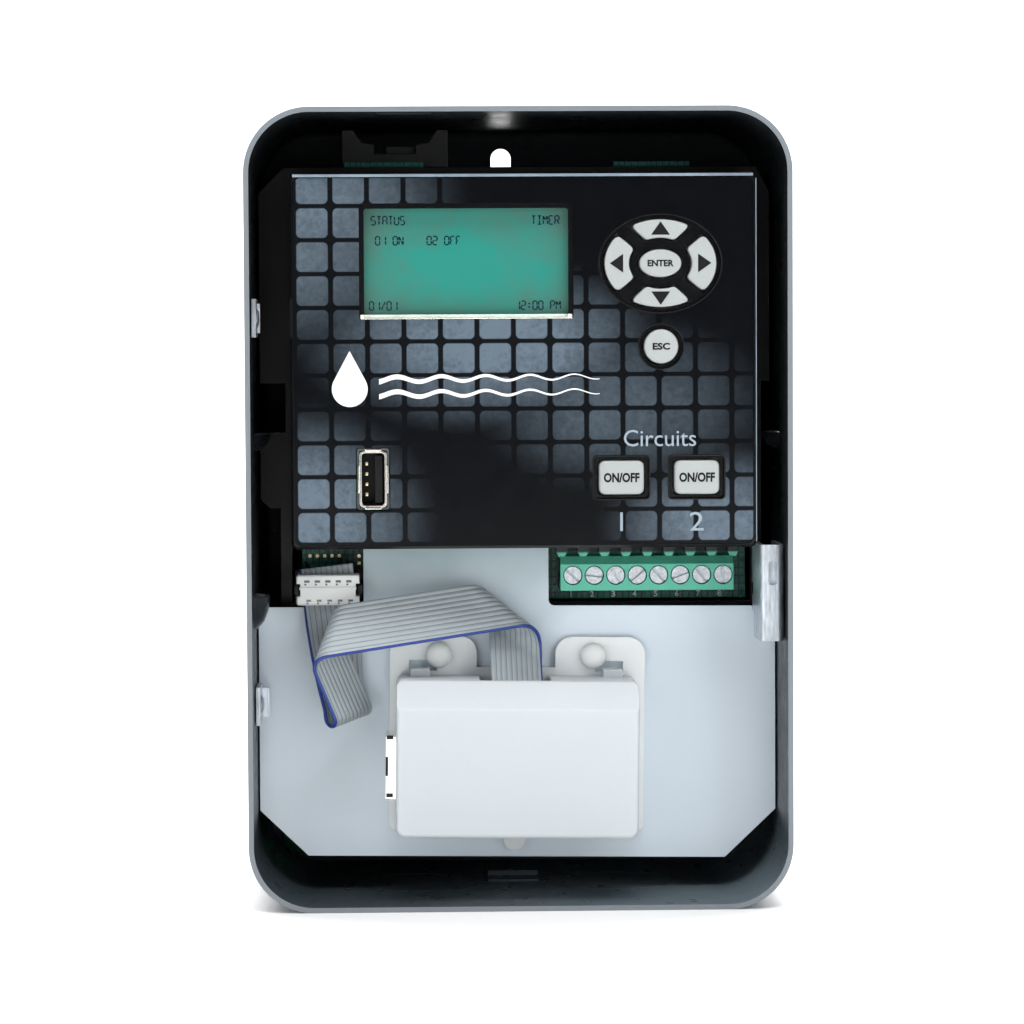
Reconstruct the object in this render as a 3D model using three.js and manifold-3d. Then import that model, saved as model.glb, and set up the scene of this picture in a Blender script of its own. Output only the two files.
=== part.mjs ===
// Two-circuit electronic irrigation controller in an open steel case, as a scene graph of named meshes.
// Millimetres. The front faces -Y, +X is right and +Z is up; the origin is the centre of the case's back.
// Places along Y are given as the depth behind the case's rim, written [front, back].
import * as THREE from "three";
import { mergeVertices } from "three/addons/utils/BufferGeometryUtils.js";
import Module from "manifold-3d";

const wasm = await Module();
wasm.setup();

// ---------------------------------------------------------------- driving dimensions
const CORNER_STEPS = 14; // segments in each corner of the case
const ARC_STEPS = 4; // segments in each smaller rounded corner
const ELLIPSE_STEPS = 56; // segments in a whole ellipse
const ROUND_SIDES = 24; // sides of a small round piece
const DEGREE = Math.PI / 180;

const CASE = { width: 125, height: 184, depth: 74, sheet: 1.2, corner: 15, backBend: 3 };
const WALL_X = CASE.width / 2 - CASE.sheet; // inner face of a side wall
const WALL_Z = CASE.height / 2 - CASE.sheet; // inner face of the top and bottom walls
const KNOCKOUT = { outer: 28.2, slot: 0.6, tab: 3.5, depth: 38, x: 23.5, sideZ: -58, backZ: -62 };
const KEYHOLE = { x: -2.2, width: 5, z: [68, 86.5], headWidth: 9, headHeight: 9, headCorner: 3.5 };
const TOP_SLOT = { x: [-32, -19.5], depth: [4.5, 9.5] }; // for the door's catch
const FLOOR_PAD = { x: [-6.9, 5.1], depth: [38, 58], rise: 0.5, bridge: [45, 50], bridgeRise: 1.6 };
const SCOOP = { reach: 3.6, length: 9, sheet: 1.1 };
// Pressed supports on the side walls: the wall, the height of the shelf, how far it hangs down, its depth.
const SCOOPS = [
  { side: -1, z: 17.2, height: 4.2, depth: 26 },
  { side: 1, z: 17.2, height: 4.2, depth: 26 },
  { side: -1, z: -20, height: 8.4, depth: 15 },
];
// Each hinge lug: its height range, its depth range and how far its foot stands in from the wall.
const LUG_UPPER = { z: [39.8, 48.6], depth: [3, 13], reach: 1.9, rivet: 2.2 };
const LUG_LOWER = { z: [-49.9, -41], depth: [10, 22], reach: 3, rivet: 2.2 };
const LATCH = {
  x: [55.4, WALL_X - 0.3],
  z: [-30.8, -8.5],
  front: 6,
  back: 25,
  sheet: 1.1,
  slot: [57.4, 59.4],
  slotZ: [-17.8, -12.2],
  rivet: { z: -19.6, depth: 24, radius: 1.7 },
  cutaway: { x: 57.2, depth: 20, height: 6 },
};
const GROUND = { x: -54, z: -84.6, radius: 3.2, head: [67.6, 70.4], shank: 1.7, slotAngle: 30 };

const PANEL = { x: [-52.3, 54.6], z: [-8.8, 76.9], face: 3.8, plate: [4.8, 7.3], skirtBack: 24 };
const OVERLAY = { face: 4, back: 4.5, border: 0.7, gap: 0.2 };
const LCD = { x: [-35.3, 11.5], z: [44.9, 69.1], glass: 7.6, margin: 1.1, step: 5.8 };
// The navigation pad: half sizes of the pocket, of the ring's outer and inner edge and of the middle key.
const NAV = {
  x: 32.5,
  z: 56.3,
  pocket: [14.2, 11.4],
  ring: [12.8, 10],
  hub: [7.25, 5.85],
  enter: [4.8, 3.15],
};
const ESCAPE = { x: 32.6, z: 37.3, radius: 3.9, pocket: 5.3 };
const CIRCUIT = { x: [23.4, 40.7], z: 7.3, cap: [10.3, 7.7], pocket: [13.2, 10.2], corner: 1.2 };
const KEY = { face: 2.8, back: 8.5, lip: 0.8, lipFront: 7.7, gap: 0.4, crown: 0.5 };
const POCKET_FLOOR = 5.8;
const DISPLAY_BOARD = { x: [-49.5, 51.8], z: [-6, 74.4], depth: [13.2, 14.8] };
const KEYPAD_MAT = { x: [14, 50.6], z: [0.5, 71], depth: [10.2, 11.4], post: 1.5, postDepth: [9.9, 12.4] };
const USB = { x: -33.5, z: 7.2, shell: [5.6, 13.2], wall: 0.5, opening: [7.8, 14.5], gap: 0.2 };

const LOGIC_BOARD = {
  x: [-51, 55],
  z: [-22.8, 77.2],
  depth: [38, 39.6],
  tabTop: 81.4,
  tabs: [[-40.2, -21.4], [23.8, 41.9]],
};
const TRAY = {
  x: [-54.6, 57.4],
  z: [-24.8, 80],
  depth: [34, 70],
  wall: 1.5,
  flangeX: 60.6,
  lowerX: [-56, 58.6],
  cornerCut: 6,
  notch: [17.4, 29],
};
const CATCH = {
  x: [-40.8, -15.6],
  barZ: [80.4, 83.6],
  barDepth: [41, 50],
  earZ: 82,
  earDepth: [41, 43],
  tongue: { x: [-30.2, -23.6], depth: [43, 46], top: 85.4 },
};
const TERMINAL = {
  count: 8,
  pitch: 5.08,
  firstX: 13.2,
  screwZ: -16.6,
  x: [10.3, 51.2],
  z: [-20.2, -8.4],
  depth: [27, 37.7],
  slopeZ: [-14, -12.2],
  slopeDepth: 29,
  ledgeDepth: 33,
  ribWidth: [1.3, 2.6],
  headRadius: 1.95,
  wire: 3,
  slotAngles: [45, 6, 60, -40, 50, -20, 50, 88],
};
const HEADER = { x: [-52.4, -36.5], z: [-23.0, -15.2], depth: [29, 37.7], wall: 1, latch: [1.1, 2.2] };
const PLUG = { x: [-51.8, -37.1], z: [-22.8, -15.7], face: 20.5, slot: 24.6, back: 28.7, nose: 34 };

// The barrier sheet: its corners are [x, z], and its tongue runs up behind the panel.
const SHEET = {
  depth: [26, 26.8],
  lowerCorners: [[-60.9, -71.6], [-49.6, -82.4], [48.9, -83.6], [60.9, -72.2]],
  top: -23.6,
  tongueX: [-36.2, 7.4],
  tongueTop: -4,
  fillet: 1.4,
  corner: 1.5,
};
// The network module sits turned a little about its middle, clockwise as seen from the front, and shifted.
const MODULE_SEAT = { angle: 0.8, x: 0, z: -58, shift: -0.7 };
const MODULE = {
  x: [-28, 28],
  z: [-75.7, -39.8],
  face: 3,
  back: 23.9,
  bevelZ: -46,
  bevelDepth: 9,
  wall: 1.4,
  ribbonSlot: [-8.6, 7.8],
};
const BASE = {
  x: [-29.7, 30.4],
  z: [-76.4, -38],
  depth: [24.2, 25.6],
  earTop: -30.7,
  earInner: 9.2,
  earCorner: 4,
  tab: { width: 5, z: [-81.4, -70] },
};
const SNAP = { x: 21.9, slotWidth: 6.6, slotZ: [-38.9, -36.4], hookWidth: 4.6, hookTop: -37.9, front: 18.6 };
const RIVET = { x: 18.15, z: -35.1, radius: 3.05, shank: 1.5, hole: 1.9, head: [21.8, 23.9], end: 29.5 };
const JACK = { z: [-67, -52.4], x: [-30.4, -14.5], depth: [5.4, 18.4], wall: 0.7, reach: 12, keyway: 6 };
const NETWORK_BOARD = { x: [-26, 26], z: [-73.5, -48], depth: [21, 22.6] };
const NETWORK_PLUG = { x: [-8.4, 7.6], z: [-53.5, -46.5], depth: [6.5, 20.6] };

const POWER_BOARD = { x: [-48, 50], z: [-44, 74], depth: [62, 63.6] };
const LINE = {
  count: 6,
  pitch: 12,
  firstX: -30,
  screwZ: -36,
  x: [-36.5, 36.5],
  z: [-42.5, -28],
  depth: [48, 61.6],
  slopeZ: [-31.6, -30],
  slopeDepth: 50,
  ledgeDepth: 53,
  ribWidth: [2, 3],
  headRadius: 3.4,
  wire: 4,
  slotAngles: [12, 75, 140, 35, 100, 160],
};
const CORE = { x: [-40, -2], z: [14, 50], depth: [44, 61.6], windowX: [-33, -14], windowWidth: 5, yoke: 6 };
const COIL = { limb: [-28, -14], wound: 4.6, depth: [41.5, 61.6], end: 0.4, passage: 43.6 };
const RELAY = { x: [10, 30], width: 14, z: [10, 40], depth: [45, 61.6], corner: 0.8 };
const CAPACITOR = { x: -30, z: 64, radius: 6.5, depth: [50, 61.6] };
const BOARD_LINK = { x: [0, 26], z: [62, 66.5], depth: [40, 61.6] };

const RIBBON = {
  pitch: 1.27,
  ways: 10,
  thickness: 0.9,
  length: 130,
  startX: -45,
  startZ: -13.9,
  lean: 6.6,
  steps: 60,
};
// The turns of the ribbon in order along it: a fold has the angle of its crease across the ribbon, its
// radius and its turn towards the ribbon's first outer side; a twist turns it about its own length.
const RIBBON_TURNS = [
  { at: 8.5, crease: 90, radius: 6, turn: 10.6 },
  { at: 10, until: 34, twist: -47.2 },
  { at: 34.4, crease: 103.5, radius: 2.2, turn: 176 },
  { at: 57.8, crease: 59.3, radius: 2.4, turn: -137.1 },
  { at: 101.3, crease: -52, radius: 3.4, turn: -195.9 },
];

const STEEL_GREY = { color: 0x5d666d, roughness: 0.45, metalness: 0.4 };
const ZINC = { color: 0xc9ced2, roughness: 0.35, metalness: 0.9 };
const BLACK_PLASTIC = { color: 0x141518, roughness: 0.45, metalness: 0 };
const BLACK_GLOSS = { color: 0x0b0c10, roughness: 0.15, metalness: 0 };
const KEY_GREY = { color: 0xd8dcda, roughness: 0.6, metalness: 0 };
const MILKY = { color: 0xb9c7d1, roughness: 0.4, metalness: 0 };
const MODULE_WHITE = { color: 0xe6ecef, roughness: 0.5, metalness: 0 };
const BOARD_GREEN = { color: 0x0f5a3c, roughness: 0.4, metalness: 0 };
const TERMINAL_GREEN = { color: 0x4bb07e, roughness: 0.45, metalness: 0 };
const GOLD = { color: 0xc9a860, roughness: 0.3, metalness: 0.9 };
const COPPER = { color: 0xa5562c, roughness: 0.4, metalness: 0.7 };
const RIBBON_GREY = { color: 0xacb4b8, roughness: 0.5, metalness: 0 };
const RELAY_BLUE = { color: 0x27539b, roughness: 0.4, metalness: 0 };
const GROUND_GREEN = { color: 0x1f8a4c, roughness: 0.4, metalness: 0.6 };
const GLASS_TEAL = { color: 0x4a9a8c, roughness: 0.1, metalness: 0 };

// ---------------------------------------------------------------- solids and booleans
function solid(geometry) {
  const bare = geometry.clone();
  bare.deleteAttribute("normal");
  bare.deleteAttribute("uv");
  const merged = mergeVertices(bare, 1e-4);
  const vertProperties = merged.attributes.position.array;
  const triVerts = new Uint32Array(merged.index.array);
  return new wasm.Manifold(new wasm.Mesh({ numProp: 3, vertProperties, triVerts }));
}

function geometryOf(body) {
  const mesh = body.getMesh();
  const geometry = new THREE.BufferGeometry();
  geometry.setAttribute("position", new THREE.BufferAttribute(mesh.vertProperties, 3));
  geometry.setIndex(new THREE.BufferAttribute(mesh.triVerts, 1));
  return geometry;
}

function join(...geometries) {
  return geometryOf(geometries.map(solid).reduce((all, next) => all.add(next)));
}

function cut(base, ...tools) {
  return geometryOf(tools.map(solid).reduce((rest, tool) => rest.subtract(tool), solid(base)));
}

function common(a, b) {
  return geometryOf(solid(a).intersect(solid(b)));
}

// ---------------------------------------------------------------- placed shapes
const yAt = (depth) => depth - CASE.depth;
const middle = ([low, high]) => (low + high) / 2;
const size = ([low, high]) => high - low;
const grown = ([low, high], by) => [low - by, high + by];
const around = (centre, width) => [centre - width / 2, centre + width / 2];

function block(x, depth, z) {
  const box = new THREE.BoxGeometry(size(x), size(depth), size(z));
  return box.translate(middle(x), yAt(middle(depth)), middle(z));
}

/** An outline seen from the front, filled from the front depth to the back depth. */
function plate(shape, [front, back], bevel = 0, curveSegments = ARC_STEPS, bevelSegments = 1) {
  const geometry = new THREE.ExtrudeGeometry(shape, {
    depth: back - front - 2 * bevel,
    curveSegments,
    bevelEnabled: bevel > 0,
    bevelThickness: bevel,
    bevelSize: bevel,
    bevelOffset: -bevel,
    bevelSegments,
  });
  return geometry.rotateX(Math.PI / 2).translate(0, yAt(back - bevel), 0);
}

/** A round rod or disc along Y. */
function rod(x, z, radius, depth, sides = ROUND_SIDES) {
  return new THREE.CylinderGeometry(radius, radius, size(depth), sides).translate(x, yAt(middle(depth)), z);
}

function polygon(points) {
  return new THREE.Shape(points.map(([x, z]) => new THREE.Vector2(x, z)));
}

/** A rectangle with round corners; radii are given as one number or as [lower, upper]. */
function roundedRect([x0, x1], [z0, z1], radius) {
  const [low, high] = Array.isArray(radius) ? radius : [radius, radius];
  const shape = new THREE.Shape();
  shape.moveTo(x0 + low, z0);
  shape.absarc(x1 - low, z0 + low, low, -Math.PI / 2, 0, false);
  shape.absarc(x1 - high, z1 - high, high, 0, Math.PI / 2, false);
  shape.absarc(x0 + high, z1 - high, high, Math.PI / 2, Math.PI, false);
  shape.absarc(x0 + low, z0 + low, low, Math.PI, 1.5 * Math.PI, false);
  return shape;
}

function ellipse(x, z, [a, b]) {
  const turn = (i) => (i / ELLIPSE_STEPS) * 2 * Math.PI;
  const point = (_, i) => new THREE.Vector2(x + a * Math.cos(turn(i)), z + b * Math.sin(turn(i)));
  return new THREE.Shape(Array.from({ length: ELLIPSE_STEPS }, point));
}

/** A tall slot with half-round ends. */
function slotShape(x, [z0, z1], width) {
  return roundedRect(around(x, width), [z0, z1], width / 2 - 0.01);
}

/** Takes geometry of the network module to the place and angle at which the module sits. */
function seated(geometry) {
  const { angle, x, z, shift } = MODULE_SEAT;
  return geometry.translate(-x, 0, -z).rotateY(angle * DEGREE).translate(x + shift, 0, z);
}

const object = new THREE.Group();

function add(name, geometry, look) {
  const mesh = new THREE.Mesh(geometry, new THREE.MeshStandardMaterial(look));
  mesh.name = name;
  object.add(mesh);
  return mesh;
}

// ---------------------------------------------------------------- steel case
/** The round slot of a knockout, broken by two tabs, as a cutter along Z through a wall at height z. */
function knockoutCutter() {
  const outerRadius = KNOCKOUT.outer / 2;
  const innerRadius = outerRadius - KNOCKOUT.slot;
  const outer = new THREE.CylinderGeometry(outerRadius, outerRadius, 6, 32);
  const inner = new THREE.CylinderGeometry(innerRadius, innerRadius, 7, 32);
  const tabs = new THREE.BoxGeometry(KNOCKOUT.outer + 2, 8, KNOCKOUT.tab);
  return cut(outer, inner, tabs).rotateX(Math.PI / 2);
}

/** A quarter-round scoop pressed inwards from a side wall, open at the top: a shelf for the tray. */
function scoopParts({ side, z, height, depth }) {
  const outerX = side * (CASE.width / 2);
  const sunk = 0.1;
  const ball = (shrink) =>
    new THREE.SphereGeometry(1, 16, 8)
      .scale(SCOOP.reach + CASE.sheet - shrink, SCOOP.length - shrink, height - shrink)
      .translate(outerX, yAt(depth), z);
  const above = new THREE.BoxGeometry(20, 40, 20).translate(outerX, yAt(depth), z + 10);
  const outside = new THREE.BoxGeometry(20, 40, 60).translate(outerX + side * (10 - sunk), yAt(depth), z);
  return { bump: cut(ball(0), above, outside), hollow: cut(ball(SCOOP.sheet), above) };
}

function caseShell() {
  const overhang = 12;
  const drawn = (inset, back, bend) =>
    plate(
      roundedRect(
        around(0, CASE.width - 2 * inset),
        around(0, CASE.height - 2 * inset),
        CASE.corner - inset,
      ),
      [-overhang, back],
      bend,
      CORNER_STEPS,
      2,
    );
  const front = block([-100, 100], [-overhang - 1, 0], [-120, 120]);
  let shell = cut(
    drawn(0, CASE.depth, CASE.backBend),
    drawn(CASE.sheet, CASE.depth - CASE.sheet, CASE.backBend - CASE.sheet),
    front,
  );
  const scoops = SCOOPS.map(scoopParts);
  const pad = block(FLOOR_PAD.x, FLOOR_PAD.depth, [-WALL_Z - 0.5, -WALL_Z + FLOOR_PAD.rise]);
  const bridge = block(FLOOR_PAD.x, FLOOR_PAD.bridge, [-WALL_Z - 0.5, -WALL_Z + FLOOR_PAD.bridgeRise]);
  shell = join(shell, pad, bridge, ...scoops.map((scoop) => scoop.bump));

  const ring = knockoutCutter();
  const bottom = [-1, 1].map((side) =>
    ring.clone().translate(side * KNOCKOUT.x, yAt(KNOCKOUT.depth), -CASE.height / 2),
  );
  const sides = [-1, 1].map((side) =>
    ring.clone().rotateY(Math.PI / 2).translate(side * CASE.width / 2, yAt(KNOCKOUT.depth), KNOCKOUT.sideZ),
  );
  const back = ring.clone().rotateX(Math.PI / 2).translate(0, 0, KNOCKOUT.backZ);
  const throughBack = grown([CASE.depth - CASE.sheet, CASE.depth], 3);
  const headZ = [KEYHOLE.z[0] - KEYHOLE.headHeight, KEYHOLE.z[0]];
  const slotZ = [middle(headZ), KEYHOLE.z[1]];
  const keyhole = plate(slotShape(KEYHOLE.x, slotZ, KEYHOLE.width), throughBack);
  const headShape = roundedRect(around(KEYHOLE.x, KEYHOLE.headWidth), headZ, KEYHOLE.headCorner);
  const head = plate(headShape, throughBack);
  const topSlot = block(TOP_SLOT.x, TOP_SLOT.depth, grown([WALL_Z, CASE.height / 2], 1));
  const hollows = scoops.map((scoop) => scoop.hollow);
  return cut(shell, ...hollows, ...bottom, ...sides, back, keyhole, head, topSlot);
}

/** A bent lug riveted inside the left wall, which holds the lower half of a door hinge. */
function hingeLug({ z, depth, reach, rivet }) {
  const sheet = 1;
  const wall = -WALL_X + 0.3;
  const flange = block([wall, wall + sheet], depth, z);
  const foot = block([wall + 0.5, -WALL_X + reach], [depth[1] - 1.4, depth[1]], grown(z, -1));
  const dome = new THREE.SphereGeometry(rivet, 16, 8)
    .scale(0.3, 1, 1)
    .translate(wall + sheet, yAt(middle(depth)), middle(z));
  return join(flange, foot, dome);
}

/** A channel riveted to the right wall, with a slotted face that the door's latch enters. */
function latchBracket() {
  const { x, z, front, back, sheet, slot, slotZ, rivet, cutaway } = LATCH;
  const outer = roundedRect(x, [0, back - front + 3], sheet + 0.3);
  const inner = roundedRect(grown(x, -sheet), [sheet, 40], 0.6);
  const channel = (shape, grow) => {
    const options = { depth: size(z) + 2 * grow, curveSegments: ARC_STEPS, bevelEnabled: false };
    return new THREE.ExtrudeGeometry(shape, options).translate(0, yAt(front), z[0] - grow);
  };
  const slotHole = plate(roundedRect(slot, slotZ, 0.9), [front - 2, front + 3]);
  const rivetHole = new THREE.CylinderGeometry(rivet.radius, rivet.radius, 4, ROUND_SIDES)
    .rotateZ(Math.PI / 2)
    .translate(x[0], yAt(rivet.depth), rivet.z);
  const tail = block(grown(x, 2), [back, back + 10], grown(z, 1));
  const corner = block([x[0] - 1, cutaway.x], [cutaway.depth, back + 10], [z[0] - 1, z[0] + cutaway.height]);
  return cut(channel(outer, 0), channel(inner, 1), slotHole, rivetHole, tail, corner);
}

/** A round-headed screw or rivet that faces the front, with an optional straight slot. */
function roundHead(x, z, radius, [front, back], slotAngle) {
  const height = back - front;
  const profile = [
    [0, 0],
    [radius, 0],
    [radius, height * 0.45],
    [radius * 0.72, height * 0.85],
    [radius * 0.3, height],
    [0, height],
  ];
  const head = new THREE.LatheGeometry(profile.map(([r, h]) => new THREE.Vector2(r, h)), ROUND_SIDES);
  head.rotateX(Math.PI).translate(0, yAt(back), 0);
  if (slotAngle === undefined) return head.translate(x, 0, z);
  const slot = block([-radius * 1.1, radius * 1.1], [front - 1, front + height * 0.45], [-0.4, 0.4]);
  return cut(head, slot).rotateY(slotAngle * DEGREE).translate(x, 0, z);
}

function groundScrew() {
  const { x, z, radius, head, shank, slotAngle } = GROUND;
  const stem = rod(x, z, shank, [head[1] - 0.2, CASE.depth - CASE.sheet - 0.4]);
  return join(roundHead(x, z, radius, head, slotAngle), stem);
}

// ---------------------------------------------------------------- tray and boards
function moduleTray() {
  const { x, z, depth, wall, flangeX, lowerX, cornerCut, notch } = TRAY;
  const outline = polygon([
    [-flangeX, z[1] - cornerCut],
    [-flangeX, notch[1]],
    [x[0], notch[1]],
    [x[0], notch[0]],
    [-flangeX, notch[0]],
    [-flangeX, 1.4],
    [-58.4, -0.6],
    [lowerX[0], -0.6],
    [lowerX[0], z[0]],
    [lowerX[1], z[0]],
    [lowerX[1], notch[1]],
    [flangeX, notch[1]],
    [flangeX, z[1] - cornerCut],
    [x[1], z[1]],
    [x[0], z[1]],
  ]);
  const flange = plate(outline, [depth[0], depth[0] + wall]);
  const body = block(x, depth, z);
  const hollow = block(grown(x, -wall), [depth[0] - 1, depth[1] - wall], grown(z, -wall));
  const tabSlots = LOGIC_BOARD.tabs.map((tab) =>
    block(grown(tab, 0.5), grown(LOGIC_BOARD.depth, 0.6), around(z[1], 4.4)),
  );
  const boardExit = block(grown(POWER_BOARD.x, 2), [45, POWER_BOARD.depth[1] + 0.8], around(z[0], 4));
  return cut(join(flange, body), hollow, ...tabSlots, boardExit);
}

/** A snap bracket with a trapezoid ear at each end that bears on the top wall. */
function topCatch() {
  const { x, barZ, barDepth, earZ, earDepth, tongue } = CATCH;
  const ear = (end, lean) => [
    [end, earZ],
    [end + 7.6 * lean, earZ],
    [end + 7.6 * lean, earZ + 3.8],
    [end + 4.6 * lean, earZ + 4.2],
    [end + 2.6 * lean, earZ + 7.2],
    [end, earZ + 7.2],
  ];
  const leftEar = polygon(ear(x[0], 1));
  const rightEar = polygon(ear(x[1], -1).reverse());
  const bar = block(x, barDepth, barZ);
  const stop = block(tongue.x, tongue.depth, [barZ[1] - 0.2, tongue.top]);
  return join(bar, plate(leftEar, earDepth), plate(rightEar, earDepth), stop);
}

function logicBoard() {
  const { x, z, depth, tabs, tabTop } = LOGIC_BOARD;
  return join(block(x, depth, z), ...tabs.map((tab) => block(tab, depth, [z[1] - 1, tabTop])));
}

// ---------------------------------------------------------------- bezel, display and keys
function windowRect(grow = 0) {
  return roundedRect(grown(LCD.x, grow), grown(LCD.z, grow), 0.6);
}

function usbRect(grow) {
  return roundedRect(around(USB.x, USB.opening[0] + 2 * grow), around(USB.z, USB.opening[1] + 2 * grow), 0.6);
}

function circuitRect(x, [width, height], grow = 0) {
  return roundedRect(around(x, width + 2 * grow), around(CIRCUIT.z, height + 2 * grow), CIRCUIT.corner);
}

/** One key of the ring: the part of an elliptical band around a middle angle, grown by a clearance. */
function ringKey(middleAngle, grow = 0) {
  const upright = Math.abs(Math.sin(middleAngle * DEGREE)) > 0.5;
  const [outerHalf, innerHalf] = upright ? [32, 26] : [40, 34];
  const outerTurn = (outerHalf + grow * 5) * DEGREE;
  const innerTurn = (innerHalf + grow * 9) * DEGREE;
  const centre = middleAngle * DEGREE;
  const outer = NAV.ring.map((half) => half + grow);
  const inner = NAV.hub.map((half) => half - grow);
  const shape = new THREE.Shape();
  shape.absellipse(NAV.x, NAV.z, ...outer, centre - outerTurn, centre + outerTurn, false, 0);
  shape.absellipse(NAV.x, NAV.z, ...inner, centre + innerTurn, centre - innerTurn, true, 0);
  return shape;
}

const KEY_SHAPES = {
  key_right: (grow) => ringKey(0, grow),
  key_up: (grow) => ringKey(90, grow),
  key_left: (grow) => ringKey(180, grow),
  key_down: (grow) => ringKey(270, grow),
  key_enter: (grow = 0) => ellipse(NAV.x, NAV.z, [NAV.enter[0] + grow, NAV.enter[1] + grow]),
  key_escape: (grow = 0) => ellipse(ESCAPE.x, ESCAPE.z, [ESCAPE.radius + grow, ESCAPE.radius + grow]),
  key_circuit_1: (grow) => circuitRect(CIRCUIT.x[0], CIRCUIT.cap, grow),
  key_circuit_2: (grow) => circuitRect(CIRCUIT.x[1], CIRCUIT.cap, grow),
};

function pocketShapes() {
  return [
    ellipse(NAV.x, NAV.z, NAV.pocket),
    ellipse(ESCAPE.x, ESCAPE.z, [ESCAPE.pocket, ESCAPE.pocket]),
    ...CIRCUIT.x.map((x) => circuitRect(x, CIRCUIT.pocket)),
  ];
}

function bezel() {
  const { x, z, face, plate: plateDepth, skirtBack } = PANEL;
  const skirtWall = 1.8;
  const outer = plate(roundedRect(x, z, 1.4), [face, skirtBack + 0.6], 0.6);
  const backCut = block([-90, 90], [skirtBack, 40], [-40, 100]);
  const hollow = block(grown(x, -skirtWall), [plateDepth[1], 40], grown(z, -skirtWall));
  const recess = plate(
    roundedRect(grown(x, -OVERLAY.border), grown(z, -OVERLAY.border), 2),
    [0, plateDepth[0]],
  );
  const pockets = pocketShapes().map((shape) => plate(shape, [4, POCKET_FLOOR]));
  const keyHoles = Object.values(KEY_SHAPES).map((shape) => plate(shape(KEY.gap), [4, 9]));
  const windowHole = plate(windowRect(), [4, 9]);
  const windowStep = plate(windowRect(LCD.margin), [4, LCD.step]);
  const usbHole = plate(usbRect(0.3), [4, 9]);
  return cut(outer, backCut, hollow, recess, ...pockets, ...keyHoles, windowHole, windowStep, usbHole);
}

function overlay() {
  const inset = OVERLAY.border + OVERLAY.gap;
  const shape = roundedRect(grown(PANEL.x, -inset), grown(PANEL.z, -inset), 1.8);
  shape.holes.push(windowRect(LCD.margin), usbRect(0), ...pocketShapes());
  return plate(shape, [OVERLAY.face, OVERLAY.back]);
}

function keyCap(shape) {
  const cap = plate(shape(0), [KEY.face, KEY.back], KEY.crown);
  const lip = plate(shape(KEY.lip), [KEY.lipFront, KEY.back]);
  return join(cap, lip);
}

/** The rubber sheet behind the keys, with a contact post behind each. */
function keypadMat() {
  const { x, z, depth, post, postDepth } = KEYPAD_MAT;
  const reachX = (NAV.ring[0] + NAV.hub[0]) / 2;
  const reachZ = (NAV.ring[1] + NAV.hub[1]) / 2;
  const centres = [
    [NAV.x, NAV.z],
    [NAV.x - reachX, NAV.z],
    [NAV.x + reachX, NAV.z],
    [NAV.x, NAV.z - reachZ],
    [NAV.x, NAV.z + reachZ],
    [ESCAPE.x, ESCAPE.z],
    ...CIRCUIT.x.map((keyX) => [keyX, CIRCUIT.z]),
  ];
  return join(block(x, depth, z), ...centres.map(([px, pz]) => rod(px, pz, post, postDepth, 8)));
}

function lcdFrame() {
  const outer = block([LCD.x[0] - 4.2, LCD.x[1] + 1.9], [9.4, 12.8], grown(LCD.z, 4));
  return cut(outer, block([LCD.x[0] - 1.6, LCD.x[1] + 0.8], [9, 14], grown(LCD.z, 1.6)));
}

function usbShell() {
  const { x, z, shell, wall, opening, gap } = USB;
  const outline = (inset, corner) =>
    roundedRect(around(x, opening[0] - 2 * inset), around(z, opening[1] - 2 * inset), corner);
  const outer = plate(outline(gap, 0.5), shell);
  const hollow = plate(outline(gap + wall, 0.3), [shell[0] - 1, shell[1] - 0.8]);
  return cut(outer, hollow);
}

// ---------------------------------------------------------------- terminal blocks
/** A rib that stands on the ledge of a terminal block between two ways, wider at its top. */
function terminalRib(x, { z, slopeZ, slopeDepth, ledgeDepth, ribWidth }) {
  const [narrow, wide] = ribWidth.map((width) => width / 2);
  const foot = slopeZ[1] - 0.2;
  const knee = foot + 1.3;
  const outline = polygon([
    [x - narrow, foot],
    [x + narrow, foot],
    [x + wide, knee],
    [x + wide, z[1]],
    [x - wide, z[1]],
    [x - wide, knee],
  ]);
  return plate(outline, [slopeDepth, ledgeDepth + 0.2]);
}

/** A row of screw terminals: a sloped top with ribs between the ways, screw wells, and wire ways below. */
function terminalBody(row) {
  const { count, pitch, firstX, screwZ, x, z, depth, slopeZ, slopeDepth, ledgeDepth, headRadius, wire } = row;
  const profile = polygon([
    [yAt(depth[0]), z[0]],
    [yAt(depth[1]), z[0]],
    [yAt(depth[1]), z[1]],
    [yAt(ledgeDepth), z[1]],
    [yAt(ledgeDepth), slopeZ[1]],
    [yAt(slopeDepth), slopeZ[1]],
    [yAt(depth[0]), slopeZ[0]],
  ]);
  const ribs = Array.from({ length: count + 1 }, (_, i) => terminalRib(firstX + (i - 0.5) * pitch, row));
  const holes = [];
  for (let way = 0; way < count; way += 1) {
    const wayX = firstX + way * pitch;
    holes.push(rod(wayX, screwZ, headRadius + 0.35, [depth[0] - 1, depth[0] + 3.4]));
    holes.push(block(around(wayX, wire), around(depth[1] - wire, wire), [z[0] - 1, z[0] + 4]));
  }
  return cut(join(acrossX(profile, x), ...ribs), ...holes);
}

function addTerminals(bodyName, screwName, row, look) {
  add(bodyName, terminalBody(row), look);
  const head = [row.depth[0] + 0.5, row.depth[0] + 3];
  for (let way = 0; way < row.count; way += 1) {
    const wayX = row.firstX + way * row.pitch;
    const screw = roundHead(wayX, row.screwZ, row.headRadius, head, row.slotAngles[way]);
    add(`${screwName}_${way + 1}`, screw, ZINC);
  }
}

// ---------------------------------------------------------------- ribbon cable
const RIBBON_WIDTH = RIBBON.pitch * RIBBON.ways;

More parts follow.
